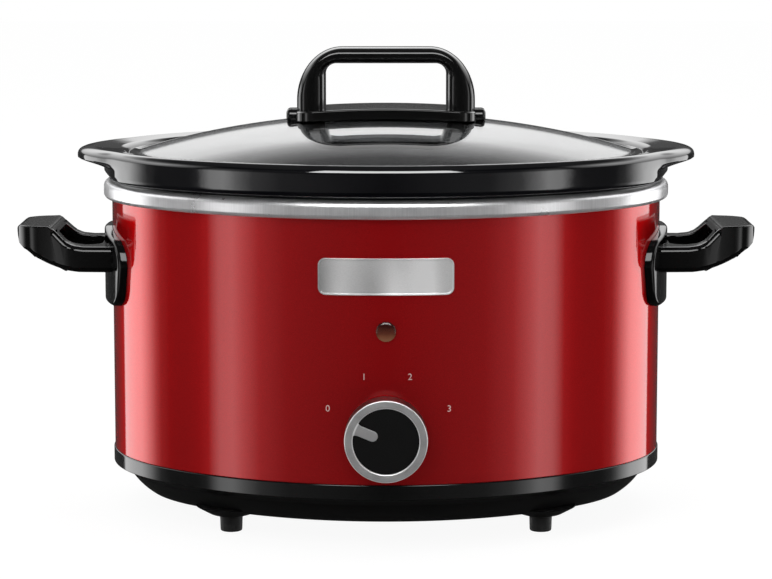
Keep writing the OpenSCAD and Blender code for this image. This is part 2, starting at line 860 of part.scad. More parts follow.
// Saddle strap that is spot-welded under the liner and holds the fuse
module fuse_clip() {
    t = clip_t;
    w = 6;
    r = fuse_r + fit;
    tail = 5;
    drop = liner_low - fuse_z;
    color("silver")
        translate([fuse_x - w/2, fuse_y, liner_low]) rotate([90, 0, 90])
            linear_extrude(w)
                difference() {
                    union() {
                        translate([-r - t, -drop]) square([2*(r + t), drop]);
                        translate([0, -drop]) circle(r = r + t);
                        translate([-r - t - tail, -t]) square([2*(r + t + tail), t]);
                    }
                    translate([-r, -drop]) square([2*r, drop + over]);
                    translate([0, -drop]) circle(r = r);
                    translate([-2*r, 0]) square([4*r, 4*r]);
                }
}

block_x = 0;
block_in = 48.2;       // distance of the block's middle from the shell's rear
block_y = rear_y - block_in;
block_l = 30;
block_w = 16;
block_h = 12;
block_post_h = 4;
block_screw_x = 0.8*block_l/2;
block_screw_r = 1.5;
block_post_r = 3.4;
block_hole_x = 5;
block_hole_r = 2;
module block_posts()
    for (x = [-block_screw_x, block_screw_x])
        translate([x, 0, 0]) cylinder(r = block_post_r, h = block_post_h + sunk);

module terminal_block() {
    color("whitesmoke")
        translate([block_x, block_y, floor_z + block_post_h])
            difference() {
                translate([-block_l/2, -block_w/2, 0]) cube([block_l, block_w, block_h]);
                for (x = [-block_screw_x, block_screw_x])
                    translate([x, 0, -over]) cylinder(r = block_screw_r + fit, h = block_h + 2*over);
                for (x = [-block_hole_x, block_hole_x])
                    translate([x, -block_w, block_h/2]) rotate([-90, 0, 0])
                        cylinder(r = block_hole_r, h = 2*block_w);
            }
}

module block_screws() {
    color("silver")
        translate([block_x, block_y, floor_z + block_post_h + block_h])
            for (x = [-block_screw_x, block_screw_x])
                translate([x, 0, 0]) mirror([0, 0, 1])
                    screw(block_screw_r, block_h + block_post_h, 1.8*block_screw_r, 1.2*block_screw_r);
}

gland_flange_t = 3;
gland_rim = 2.5;
gland_wall = 3.2;
gland_inside = 9;
gland_nut_t = 3.5;
module cord_gland() {
    color("#1d1d1f")
        on_rear(0, gland_z)
            difference() {
                union() {
                    translate([0, 0, -gland_inside]) cylinder(r = gland_d/2, h = gland_inside + over);
                    translate([0, 0, seat]) cylinder(r = gland_d/2 + gland_rim, h = gland_flange_t);
                    cylinder(r = cord_bore/2 + gland_wall, h = gland_out);
                }
                translate([0, 0, -gland_inside - over])
                    cylinder(r = cord_bore/2, h = gland_inside + gland_out + 2*over);
            }
}

module gland_nut() {
    color("#2a2a2c")
        on_rear(0, gland_z)
            translate([0, 0, -shell_t - 2*seat - gland_nut_t])
                tube(gland_d/2 + gland_nut_wall, gland_d/2 + fit/2, gland_nut_t);
}

// Wire along a smooth curve through the given points
wire_r = 1.2;
wire_sides = 8;
wire_steps = 5;
module wire(points) {
    n = len(points);
    path = [for (i = [0 : n - 2], k = [0 : wire_steps - 1]) on_curve(points, i, k/wire_steps),
            points[n - 1]];
    rings = len(path);
    skin = [for (i = [0 : rings - 1])
        let (along = path[min(i + 1, rings - 1)] - path[max(i - 1, 0)],
             side = unit(cross(along, [0.31, 0.17, 0.94])), up = unit(cross(side, along)))
        for (k = [0 : wire_sides - 1])
            path[i] + wire_r*(side*cos(360*k/wire_sides) + up*sin(360*k/wire_sides))];
    all = concat([path[0]], skin, [path[rings - 1]]);
    polyhedron(all, skin_faces(rings, wire_sides));
}

function unit(v) = v/norm(v);

// Point at the fraction t between points i and i + 1 of a Catmull-Rom curve
function on_curve(p, i, t) =
    let (a = p[max(i - 1, 0)], b = p[i], c = p[i + 1], d = p[min(i + 2, len(p) - 1)])
    0.5*(2*b + (c - a)*t + (2*a - 5*b + 4*c - d)*t*t + (3*b - a - 3*c + d)*t*t*t);

// Where the wires end: block holes, the fuse's ends, the switch's spades, the band's terminals
wire_end_gap = 0.4;
wire_grip = 4;         // straight stretch of a wire at a spade
function block_end(side) =
    [block_x + side*block_hole_x, block_y + block_w/2 + wire_end_gap, floor_z + block_post_h + block_h/2];
function fuse_end(side) = [fuse_x + side*(fuse_l/2 + wire_end_gap), fuse_y, fuse_z];
function spade_end(side) =
    [side*spade_x, switch_back + cover_t + spade_l + wire_end_gap, knob_z - spade_drop];
function band_end(side) = [side*(terminal_r() + terminal_l/2)*sin(terminal_a),
                           (terminal_r() + terminal_l/2)*cos(terminal_a) - side_c,
                           terminal_z - wire_end_gap];

// Where the wires run: over the shield's lip, and behind it between the pan and the band
wire_x = 52;           // how far out the long wires pass the middle
lip_over = 5.7;        // height of a wire's middle above the lip
run_z = shield_z + shield_lip + lip_over;
rear_in = 22.2;        // inset from the shell of the wires that climb behind the shield
rear_run = rear_y - rear_in;
function past_spade(side) = spade_end(side) + [side*wire_x/6, 2*wire_grip, run_z - knob_z + spade_drop];
function front_turn(side) = past_spade(side) + [side*wire_x/2.6, 3*wire_grip, 0];

module wire_live()
    color("saddlebrown")
        wire([block_end(1), block_end(1) + [9, 13.6, 2.7], [fuse_x - 4, rear_run, shield_z - lip_over],
              [fuse_x - 3, rear_run - 10, run_z], [fuse_x - 3*fuse_l/2, fuse_y + rear_in, run_z + 3],
              fuse_end(-1) - [8, -1, 0], fuse_end(-1)]);

module wire_fused()
    color("saddlebrown")
        wire([fuse_end(1), fuse_end(1) + [7, 0, 0], [wire_x + 2, fuse_y - 20, run_z + 2],
              [wire_x, -fuse_y, run_z + 1], front_turn(1), past_spade(1),
              spade_end(1) + [0, wire_grip, 0], spade_end(1)]);

module wire_switched()
    color("black")
        wire([spade_end(-1), spade_end(-1) + [0, wire_grip, 0], past_spade(-1), front_turn(-1),
              [-wire_x - 10, 0, run_z + 1], [-wire_x + 4, block_y, run_z + 1], [-10, rear_run, run_z + 2],
              [24, rear_run + 9, heater_z - 14.3], band_end(1) - [0, 0, 6], band_end(1)]);

module wire_neutral()
    color("royalblue")
        wire([block_end(-1), block_end(-1) + [-9, 13.6, 2.7], [-32, rear_run + 4, shield_z - lip_over],
              [-36, rear_run + 8, liner_low], band_end(-1) - [0, 0, 6], band_end(-1)]);

// ---- Crock ----

module stoneware_crock() {
    tip_x = body_l/2 + flange_out + lug_reach;
    color("#121214")
        union() {
            crock_bowl();
            intersection() {
                for (turn = [0, 180])
                    rotate([0, 0, turn])
                        translate([tip_x - lug_r, 0, crown_z]) cylinder(r = lug_r, h = flange_h);
                translate([0, body_w/2, 0]) rotate([90, 0, 0])
                    linear_extrude(body_w) polygon(lug_side(tip_x));
                outside(flange_out - 4, crown_z, crest_z);
            }
        }
}

// Both lugs from the side, with their sloped undersides
function lug_side(tip) =
    let (low = crest_z - lug_t, edge = 1.4, lip = 1.2,
         slope = [[tip - 1.9*lug_reach, crown_z + neck_h], [tip - 1.4*lug_reach, low - 5.5]],
         under = [[tip - 1.1*lug_reach, low - 3.4], [tip - 0.3*lug_reach, low - lip/2], [tip, low + lip]],
         right = concat(slope, under, [[tip, crest_z - edge], [tip - edge, crest_z]]))
    concat(right, [for (i = [len(right) - 1 : -1 : 0]) [-right[i][0], right[i][1]]]);

// The bowl: outer wall, rounded bottom, flange, ledge and the inside
module crock_bowl() {
    out_r = well_r;
    in_r = 0.78*well_r;
    inside_z = crock_z + crock_floor;
    skirt_r = 1.5;
    crest_r = 3;
    neck_in = 2.4;
    neck_r = 0.5;
    soft = 0.6;
    shoulder_z = crown_z - 4;
    out_in = well_in(crock_z + out_r) + crock_gap;
    wall_in = well_in(inside_z + in_r) + crock_gap + crock_wall;
    neck_z = crown_z + neck_h;
    oval_sweep(concat(
        [[-far, crock_z]],
        arc([-out_in - out_r, crock_z + out_r], out_r, -90, 0, 6),
        [[-well_in(shoulder_z) - crock_gap, shoulder_z], [-crown_in - neck_in, crown_z]],
        [[neck_r, crown_z], [3*neck_r, neck_z - neck_r], [flange_out - skirt_r, neck_z]],
        [[flange_out, neck_z + skirt_r]],
        arc([flange_out - crest_r, crest_z - crest_r], crest_r, 0, 90, 4),
        bulge([-crest_r/3, crest_z], [-recess_in + soft/2, ledge_z + soft], -soft, 4),
        [[-recess_in, ledge_z], [-ledge_in, ledge_z]],
        [[-well_in(crown_z) - crock_gap - crock_wall, crown_z]],
        arc([-wall_in - in_r, inside_z + in_r], in_r, 0, -90, 6),
        [[-far, inside_z]]));
}

// ---- Lid ----

lid_n = 64;
dome_n = 6;
glass_hole_fit = 0.6;

// Ring of points: the oval at offset u, scaled by s, at height z
function ring(u, s, z) =
    [for (i = [0 : lid_n - 1]) let (p = oval_at(360*i/lid_n, u)) [s*p[0], s*p[1], z]];

// Height of the dome's outer face at the fraction s of the way to its edge
function dome_at(s) = glass_z + dome_h*(1 - pow(s, dome_k));

// Faces of a skin over the given rings, closed at both ends by a point
function skin_faces(rings, n) = let (last = rings*n + 1) concat(
    [for (i = [0 : n - 1]) [0, 1 + i, 1 + (i + 1)%n]],
    [for (k = [0 : rings - 2], i = [0 : n - 1]) let (a = 1 + k*n, b = a + n, j = (i + 1)%n)
        each [[a + i, b + i, b + j], [a + i, b + j, a + j]]],
    [for (i = [0 : n - 1]) [last, 1 + (rings - 1)*n + (i + 1)%n, 1 + (rings - 1)*n + i]]);

module lid_glass() {
    edge = glass_t/3;
    rings = concat(
        [for (k = [1 : dome_n]) ring(-dome_in, k/dome_n, dome_at(k/dome_n))],
        [ring(-glass_in - edge, 1, glass_z), ring(-glass_in, 1, glass_z - edge)],
        [ring(-glass_in, 1, ledge_z + edge), ring(-glass_in - edge, 1, ledge_z)],
        [for (k = [dome_n : -1 : 1]) ring(-dome_in, k/dome_n, dome_at(k/dome_n) - glass_t)]);
    points = concat([[0, 0, dome_z]], [for (r = rings, p = r) p], [[0, 0, dome_z - glass_t]]);
    color("#aab4b8", 0.6)
        difference() {
            polyhedron(points, [for (f = skin_faces(len(rings), lid_n)) [f[0], f[2], f[1]]]);
            for (x = [-lid_screw_x, lid_screw_x])
                translate([x, 0, ledge_z]) cylinder(r = m4_r + glass_hole_fit, h = 2*dome_h);
        }
}

// Height of the dome's outer face over a point near the middle
function dome_over(x, y) = dome_at(norm([x/dome_x, y/dome_y]));

// Everything under the dome's face near the middle, which the handle is cut by
module under_dome(lift) {
    nx = 12;
    ny = 6;
    margin = 4;
    hx = arch_half + ear_reach + margin;
    hy = plate_d/2 + margin;
    low = glass_z - margin;
    function at(i, j) = [-hx + 2*hx*i/nx, -hy + 2*hy*j/ny];
    function id(i, j) = i*(ny + 1) + j;
    top = [for (i = [0 : nx], j = [0 : ny]) let (p = at(i, j)) [p[0], p[1], dome_over(p[0], p[1]) + lift]];
    n = len(top);
    base = [[-hx, -hy, low], [hx, -hy, low], [hx, hy, low], [-hx, hy, low]];
    polyhedron(concat(top, base), concat(
        [for (i = [0 : nx - 1], j = [0 : ny - 1]) [id(i, j), id(i, j + 1), id(i + 1, j + 1)]],
        [for (i = [0 : nx - 1], j = [0 : ny - 1]) [id(i, j), id(i + 1, j + 1), id(i + 1, j)]],
        [[n + 0, n + 1, n + 2, n + 3]],
        [concat([n + 1, n + 0], [for (i = [0 : nx]) id(i, 0)])],
        [concat([n + 3, n + 2], [for (i = [nx : -1 : 0]) id(i, ny)])],
        [concat([n + 0, n + 3], [for (j = [ny : -1 : 0]) id(0, j)])],
        [concat([n + 2, n + 1], [for (j = [0 : ny]) id(nx, j)])]));
}

module lid_handle() {
    top_z = dome_z + arch_h;
    color("#141416")
        difference() {
            union() {
                translate([0, arch_d/2, 0]) rotate([90, 0, 0])
                    linear_extrude(arch_d) polygon(arch_outline(top_z));
                intersection() {
                    translate([0, plate_d/2, 0]) rotate([90, 0, 0])
                        linear_extrude(plate_d) polygon(plate_outline());
                    translate([0, 0, glass_z]) linear_extrude(2*dome_h)
                        polygon(rounded(2*arch_half, plate_d, plate_r));
                }
                for (side = [0, 1]) mirror([side, 0, 0])
                    translate([arch_half - 4*sunk, 0, ear_z()]) rotate([90, 0, 90])
                        linear_extrude(ear_reach + 4*sunk) polygon(rounded(ear_w, ear_h, ear_r));
            }
            translate([0, arch_d, 0]) rotate([90, 0, 0])
                linear_extrude(2*arch_d) polygon(arch_opening(top_z - bar_t));
            under_dome(seat);
            for (x = [-lid_screw_x, lid_screw_x])
                translate([x, 0, ledge_z])
                    cylinder(r = m4_r, h = lid_head_z(x) - ledge_z + lid_screw_l + screw_room);
        }
}

plate_r = 9;
ear_h = 7.5;
ear_r = 2;
ear_up = 1.2;
function ear_z() = dome_over(arch_half, 0) + ear_up;

// Arch from the front, solid: its shoulders are a little taller than wide
shoulder_rise = 1.17;
function shoulder_at(a) = [shoulder_r*cos(a), shoulder_r*shoulder_rise*sin(a)];
function arch_outline(top) =
    let (right = [arch_half - shoulder_r, top - shoulder_r*shoulder_rise], left = [-right[0], right[1]])
    concat(
        [[arch_half, glass_z]],
        [for (i = [0 : 9]) right + shoulder_at(10*i)],
        [for (i = [9 : 18]) left + shoulder_at(10*i)],
        [[-arch_half, glass_z]]);

// Base plate from the front, its top arched like the dome
plate_fall = 2;
function plate_outline() = let (w = arch_half, top = dome_z + plate_h - plate_fall) concat(
    [[-w, glass_z], [w, glass_z]],
    bulge([w, top], [-w, top], plate_fall, 10));

// Opening under the bar, from the plate's top
arch_r1 = 5;
function arch_opening(top) =
    let (w = arch_half - leg_w, r = arch_r1, lean = 0.6, low = dome_z + plate_h - plate_fall/2)
    concat(
        bulge([-w - lean, low], [w + lean, low], -plate_fall/2, 8),
        arc([w - lean - r, top - r], r, 0, 90, 5),
        arc([r + lean - w, top - r], r, 90, 180, 5));

// The lid's screw stack hangs under the glass: seal, washer, head
seal_t = 1.5;
seal_r = 6;
seal_gap = 0.05;
function lid_seal_z(x) = dome_over(x + seal_r, 0) - glass_t - seal_gap;
function lid_head_z(x) = lid_seal_z(abs(x)) - seal_t - washer_t;

module at_lid_screws()
    for (x = [-lid_screw_x, lid_screw_x])
        translate([x, 0, lid_head_z(x)]) children();

module lid_screws() color("silver") at_lid_screws() screw(m4_r, lid_screw_l, m4_head_r, m4_head_h);
module lid_washers() color("silver") at_lid_screws() tube(seal_r, m4_r + fit, washer_t);
module lid_seals()
    color("#303030") at_lid_screws() translate([0, 0, washer_t]) tube(seal_r, m4_r + fit, seal_t);

// ---- Pieces ----

outer_shell();
inner_liner();
base_pan();
foot(-foot_x, -foot_y);  // foot_front_left
foot(foot_x, -foot_y);  // foot_front_right
foot(-foot_x, foot_y);  // foot_rear_left
foot(foot_x, foot_y);  // foot_rear_right
left_handle();
right_handle();
handle_screws();
badge_plate();
badge_clips();
pilot_lens();
lamp_clip();
neon_lamp();
switch_body();
switch_cover();
switch_nut();
heating_band();
band_screw();
band_nut();
heater_terminals();
heat_shield();
lower_spacer();
upper_spacer();
tie_stud();
tie_washer();
tie_nut();
thermal_fuse();
fuse_clip();
terminal_block();
block_screws();
cord_gland();
gland_nut();
wire_live();
wire_fused();
wire_switched();
wire_neutral();
stoneware_crock();
lid_glass();
lid_handle();
lid_screws();
lid_washers();
lid_seals();
switch_shaft();
switch_rotor();
knob_hub();
knob_ring();
knob_face();
knob_pointer();
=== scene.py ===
"""Finishes the oval slow cooker: painted shell, glazed crock, glass lid, handles, dial and light."""
import math

import bmesh
import bpy
from mathutils import Matrix, Vector


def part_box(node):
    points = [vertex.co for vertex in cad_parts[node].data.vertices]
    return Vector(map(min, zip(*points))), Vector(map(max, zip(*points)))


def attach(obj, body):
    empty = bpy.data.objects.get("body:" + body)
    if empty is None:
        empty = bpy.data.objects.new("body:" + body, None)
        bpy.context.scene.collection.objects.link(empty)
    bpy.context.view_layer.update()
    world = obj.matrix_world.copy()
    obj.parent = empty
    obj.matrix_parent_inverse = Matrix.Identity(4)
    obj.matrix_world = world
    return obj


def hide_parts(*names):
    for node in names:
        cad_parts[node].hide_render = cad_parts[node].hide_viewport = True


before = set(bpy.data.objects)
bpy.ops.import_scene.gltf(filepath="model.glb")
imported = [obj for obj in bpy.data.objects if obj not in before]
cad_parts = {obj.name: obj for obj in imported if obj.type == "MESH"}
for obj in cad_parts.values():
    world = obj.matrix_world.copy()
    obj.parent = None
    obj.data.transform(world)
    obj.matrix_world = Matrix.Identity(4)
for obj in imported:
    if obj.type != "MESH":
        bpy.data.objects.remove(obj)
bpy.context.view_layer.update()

MM = 0.001
TURN = 2 * math.pi


def corners(node):
    """Lowest and highest corner of a CAD node, in millimetres to a tenth."""
    return [Vector([round(v / MM, 1) for v in corner]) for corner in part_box(node)]


SHELL_LOW, SHELL_HIGH = corners("outer_shell")
PAN_LOW, PAN_HIGH = corners("base_pan")
FOOT_LOW, FOOT_HIGH = corners("foot_front_right")
LINER_LOW, LINER_HIGH = corners("inner_liner")
CROCK_LOW, CROCK_HIGH = corners("stoneware_crock")
GLASS_LOW, GLASS_HIGH = corners("lid_glass")
ARCH_LOW, ARCH_HIGH = corners("lid_handle")
GRIP_LOW, GRIP_HIGH = corners("right_handle")
RING_LOW, RING_HIGH = corners("knob_ring")
FACE_LOW, FACE_HIGH = corners("knob_face")
BADGE_LOW, BADGE_HIGH = corners("badge_plate")
LENS_LOW, LENS_HIGH = corners("pilot_lens")
GLAND_LOW, GLAND_HIGH = corners("cord_gland")

# The oval: two end arcs and two side arcs that meet on lines rising 21 for every 20 along
HALF_L, HALF_W = SHELL_HIGH.x, SHELL_HIGH.y
JOIN = math.atan2(21, 20)
OVAL_D = (HALF_L - HALF_W) / 0.6
END_R = HALF_L - OVAL_D
SIDE_C = OVAL_D * 21 / 20
SIDE_R = END_R + OVAL_D * 29 / 20
MIDDLE = -70  # inset at which the profiles of floors end, where a flat face closes them

# ---- Making meshes, in millimetres ----


def arc(centre, radius, start, end, steps):
    """Points of an arc, angles in degrees."""
    angles = [math.radians(start + (end - start) * i / steps) for i in range(steps + 1)]
    return [(centre[0] + radius * math.cos(a), centre[1] + radius * math.sin(a)) for a in angles]


def bulge(start, end, height, steps):
    """Points from start to end, bowed by height to the left of their line."""
    a, along = Vector(start), Vector(end) - Vector(start)
    left = Vector((-along.y, along.x)).normalized() * height
    return [tuple(a + along * t + left * 4 * t * (1 - t)) for t in [i / steps for i in range(steps + 1)]]


def smooth(value, low, high):
    """0 below low, 1 above high, and an even slope between them."""
    t = min(1, max(0, (value - low) / (high - low)))
    return t * t * (3 - 2 * t)


def softened(points, radius, steps=4):
    """An open line of points with every inner corner rounded."""
    path = [Vector(p) for p in points]
    line = [path[0]]
    for before, corner, after in zip(path, path[1:], path[2:]):
        back, on = before - corner, after - corner
        reach = min(radius, 0.45 * back.length, 0.45 * on.length)
        a, b = corner + back.normalized() * reach, corner + on.normalized() * reach
        for i in range(steps + 1):
            t = i / steps
            line.append((1 - t) ** 2 * a + 2 * t * (1 - t) * corner + t * t * b)
    return [tuple(p) for p in line + [path[-1]]]


def chain(bm, points, closed=False):
    """Vertices joined by edges, to be spun or extruded."""
    verts = [bm.verts.new(p) for p in points]
    pairs = list(zip(verts, verts[1:])) + ([(verts[-1], verts[0])] if closed else [])
    return verts + [bm.edges.new(pair) for pair in pairs]


def weld(bm, dist=0.01):
    """Joins vertices that lie on each other, and turns the faces outwards."""
    bmesh.ops.remove_doubles(bm, verts=bm.verts, dist=dist)
    bmesh.ops.recalc_face_normals(bm, faces=bm.faces)
    return bm


def close_holes(bm):
    """Fills the open edge loops that a sweep leaves."""
    bmesh.ops.holes_fill(bm, edges=[e for e in bm.edges if e.is_boundary], sides=0)
    return weld(bm)


def oval_sweep(profile, closed=False, steps=56):
    """Sweeps a profile of (u, z) round the oval; u is measured outwards from the shell."""
    bm = bmesh.new()
    ca, sa = math.cos(JOIN), -math.sin(JOIN)
    geom = chain(bm, [(OVAL_D + (END_R + u) * ca, (END_R + u) * sa, z) for u, z in profile], closed)
    for cx, cy, angle in (
        (OVAL_D, 0, 2 * JOIN),
        (0, -SIDE_C, math.pi - 2 * JOIN),
        (-OVAL_D, 0, 2 * JOIN),
        (0, SIDE_C, math.pi - 2 * JOIN),
    ):
        spun = bmesh.ops.spin(bm, geom=geom, cent=(cx, cy, 0), axis=(0, 0, 1), angle=angle, steps=steps)
        geom = spun["geom_last"]
    return weld(bm)


def lathe(profile, steps=96, closed=False):
    """Spins a profile of (radius, height) round Z into a closed skin."""
    bm = bmesh.new()
    geom = chain(bm, [(r, 0, h) for r, h in profile], closed)
    bmesh.ops.spin(bm, geom=geom, axis=(0, 0, 1), angle=TURN, steps=steps, use_merge=True)
    return weld(bm)


def prism(outline, depth):
    """Closed outline of (x, y) points extruded along Z."""
    bm = bmesh.new()
    face = bm.faces.new([bm.verts.new((x, y, 0)) for x, y in outline])
    made = bmesh.ops.extrude_face_region(bm, geom=[face])
    top = [v for v in made["geom"] if isinstance(v, bmesh.types.BMVert)]
    bmesh.ops.translate(bm, verts=top, vec=(0, 0, depth))
    return weld(bm)


def woven(across, along, place):
    """A grid of faces with each vertex moved to place(s, t), for s and t from 0 to 1."""
    bm = bmesh.new()
    bmesh.ops.create_grid(bm, x_segments=across, y_segments=along, size=0.5)
    for v in bm.verts:
        v.co = place(v.co.x + 0.5, v.co.y + 0.5)
    return weld(bm)


def placed(bm, matrix):
    """Moves a whole bmesh."""
    bmesh.ops.transform(bm, matrix=matrix, verts=bm.verts)
    return bm


def joined(*parts):
    """Several bmeshes as one."""
    whole = bmesh.new()
    for part in parts:
        mesh = bpy.data.meshes.new("part")
        part.to_mesh(mesh)
        part.free()
        whole.from_mesh(mesh)
        bpy.data.meshes.remove(mesh)
    return whole


def bevelled(bm, width, segments=3, angle=30, clamp=True, where=lambda edge: True):
    """Rounds every edge, of those asked for, whose faces meet at more than the angle."""
    sharp = [
        e for e in bm.edges
        if len(e.link_faces) == 2 and e.calc_face_angle() > math.radians(angle) and where(e)
    ]
    bmesh.ops.bevel(
        bm, geom=sharp, offset=width, affect="EDGES", segments=segments, profile=0.5, material=-1,
        clamp_overlap=clamp,
    )
    return weld(bm)


def solid(bm, name="solid"):
    """A bmesh as an object of the scene."""
    mesh = bpy.data.meshes.new(name)
    bm.to_mesh(mesh)
    bm.free()
    made = bpy.data.objects.new(name, mesh)
    bpy.context.scene.collection.objects.link(made)
    return made


def as_bmesh(made):
    """What an object looks like after its modifiers; the object goes."""
    bpy.context.view_layer.update()
    shape = made.evaluated_get(bpy.context.evaluated_depsgraph_get())
    bm = bmesh.new()
    bm.from_mesh(bpy.data.meshes.new_from_object(shape))
    bpy.data.objects.remove(made)
    return bm


def carved(bm, operation, cutter):
    """bm after a boolean with another closed bmesh."""
    body, tool = solid(bm), solid(cutter)
    change = body.modifiers.new("cut", "BOOLEAN")
    change.operation, change.object, change.solver = operation, tool, "EXACT"
    out = as_bmesh(body)
    bpy.data.objects.remove(tool)
    return out


def piece(name, bm, finish, body, slot, *nodes, sharp=35):
    """Finished piece: scaled to metres, smooth but for its sharp edges, riding on its body."""
    bmesh.ops.scale(bm, vec=(MM, MM, MM), verts=bm.verts)
    for face in bm.faces:
        face.smooth = True
    for edge in bm.edges:
        edge.smooth = len(edge.link_faces) != 2 or edge.calc_face_angle() < math.radians(sharp)
    made = solid(bm, name)
    made.data.materials.append(finish)
    even = made.modifiers.new("even", "WEIGHTED_NORMAL")
    even.keep_sharp = True
    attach(made, body)
    if nodes:
        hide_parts(*nodes)
    return made


def facing_front(y, z):
    """Matrix that points +Z of a lathe out of the front, from y on the axis at height z."""
    return Matrix.Translation((0, y, z)) @ Matrix.Rotation(math.pi / 2, 4, "X")


def bent_front(bm):
    """Lays a flat piece on the shell's front: its -y becomes the distance out of the shell."""
    for v in bm.verts:
        v.co.y = SIDE_C - math.sqrt((SIDE_R - v.co.y) ** 2 - v.co.x**2)
    return bm


def bent_end(bm):
    """Lays a flat piece on the shell's right end: its x becomes the distance out of the shell."""
    for v in bm.verts:
        v.co.x = OVAL_D + math.sqrt((END_R + v.co.x) ** 2 - v.co.y**2)
    return bm


def sliced(bm, axis, low, high, step):
    """Cuts a flat piece across so that it can bend."""
    count = int((high - low) / step)
    normal = Vector()
    normal[axis] = 1
    for i in range(1, count):
        at = normal * (low + (high - low) * i / count)
        bmesh.ops.bisect_plane(bm, geom=bm.verts[:] + bm.edges[:] + bm.faces[:], plane_co=at, plane_no=normal)
    return bm


def round_rect(w, h, r, steps=6):
    """Closed outline of a rectangle with round corners."""
    x, y = w / 2 - r, h / 2 - r
    return (
        arc((x, y), r, 0, 90, steps) + arc((-x, y), r, 90, 180, steps)
        + arc((-x, -y), r, 180, 270, steps) + arc((x, -y), r, 270, 360, steps)
    )


# ---- Finishes ----


class Socket:
    """A node's output. Arithmetic on it adds Math nodes."""

    def __init__(self, finish, output):
        self.finish, self.output = finish, output

    def __add__(self, other):
        return self.finish.math("ADD", self, other)

    def __sub__(self, other):
        return self.finish.math("SUBTRACT", self, other)

    def __rsub__(self, other):
        return self.finish.math("SUBTRACT", other, self)

    def __mul__(self, other):
        return self.finish.math("MULTIPLY", self, other)

    def __truediv__(self, other):
        return self.finish.math("DIVIDE", self, other)

    __radd__, __rmul__ = __add__, __mul__


class Finish:
    """A node material. node() makes any node from its type, settings and sockets."""

    def __init__(self, name, owner=None):
        self.owner = owner or bpy.data.materials.new(name)
        self.owner.use_nodes = True
        self.tree = self.owner.node_tree
        self.tree.nodes.clear()

    def node(self, kind, settings=(), sockets=(), out=0):
        """Adds a node: its settings and a ramp's stops first, then the values or links of its sockets."""
        made = self.tree.nodes.new(kind)
        for key, value in dict(settings).items():
            if key == "stops":
                for i, (at, colour) in enumerate(value):
                    stop = made.color_ramp.elements[i] if i < 2 else made.color_ramp.elements.new(at)
                    stop.position, stop.color = at, (*colour, 1)
            else:
                setattr(made, key, value)
        for key, value in dict(sockets).items():
            if isinstance(value, Socket):
                self.tree.links.new(value.output, made.inputs[key])
            else:
                made.inputs[key].default_value = value
        return Socket(self, made.outputs[out]) if made.outputs else made

    def math(self, operation, *values):
        """One Math node on values or outputs."""
        return self.node("ShaderNodeMath", {"operation": operation}, dict(enumerate(values)))

    def at(self, *scale, centre=(0, 0, 0)):
        """Object coordinates in metres, stretched by scale."""
        here = self.node("ShaderNodeTexCoord", out=3)
        return self.node(
            "ShaderNodeMapping", {"vector_type": "POINT"},
            {"Vector": here, "Scale": scale or (1, 1, 1), "Location": centre},
        )

    def axes(self, centre=(0, 0, 0)):
        """The three object coordinates, each on its own."""
        here = self.at(centre=centre)
        return [self.node("ShaderNodeSeparateXYZ", {}, {"Vector": here}, out=i) for i in range(3)]

    def noise(self, where, scale, detail=3):
        """Even noise, finer as the scale grows."""
        return self.node("ShaderNodeTexNoise", {}, {"Vector": where, "Scale": scale, "Detail": detail})

    def ramp(self, value, *stops):
        """Colours along a value, given as (place, colour)."""
        return self.node("ShaderNodeValToRGB", {"stops": stops}, {"Fac": value})

    def levels(self, value, *stops):
        """A ramp of greys, given as (place, level)."""
        return self.ramp(value, *[(at, grey(level)) for at, level in stops])

    def blend(self, factor, first, second):
        """One colour turning into another as the factor goes from 0 to 1."""
        first, second = [(*c, 1) if isinstance(c, tuple) else c for c in (first, second)]
        return self.node("ShaderNodeMix", {"data_type": "RGBA"}, {0: factor, 6: first, 7: second}, out=2)

    def between(self, value, low, high, first=0.0, last=1.0, easing="LINEAR"):
        """A value going from low to high, turned to go from first to last and held at its ends."""
        return self.node(
            "ShaderNodeMapRange", {"interpolation_type": easing},
            {"Value": value, "From Min": low, "From Max": high, "To Min": first, "To Max": last},
        )

    def spread(self, noise, low, high):
        """Noise, most of which lies between 0.3 and 0.7, turned to go from low to high."""
        return self.between(noise, 0.3, 0.7, low, high)

    def bump(self, height, distance, strength):
        """Normals bent by a height, which is worth distance in metres at 1."""
        return self.node("ShaderNodeBump", {}, {"Height": height, "Distance": distance, "Strength": strength})

    def looked_at(self):
        """1 for what the lens, a reflection or a glass looks at, and 0 for light that falls on things."""
        lens, mirror, through = [self.node("ShaderNodeLightPath", out=i) for i in (0, 3, 6)]
        return self.math("MAXIMUM", self.math("MAXIMUM", lens, mirror), through)

    def done(self, sockets, shader=None):
        """Closes the finish with its shader, and gives it back."""
        made = shader or self.node("ShaderNodeBsdfPrincipled", {}, sockets)
        self.node("ShaderNodeOutputMaterial", {}, {"Surface": made})
        return self.owner


def grey(level):
    """A colour without hue."""
    return (level, level, level)


def red_enamel():
    """Candy paint: fine metal flakes under a clear coat."""
    f = Finish("red_enamel")
    flakes = f.noise(f.at(), 2600, 2)
    drift = f.noise(f.at(1, 1, 0.4), 14, 2)
    colour = f.ramp(flakes, (0.3, (0.38, 0.005, 0.007)), (0.7, (0.53, 0.008, 0.010)))
    return f.done({
        "Base Color": colour, "Metallic": 0.60, "Roughness": f.spread(drift, 0.28, 0.32),
        "Coat Weight": 1.0, "Coat Roughness": 0.015, "Coat IOR": 1.5, "Specular IOR Level": 0.0,
        "Specular Tint": (0.75, 0.12, 0.12, 1),
        "Normal": f.bump(flakes, 0.00002, 0.25),
    })


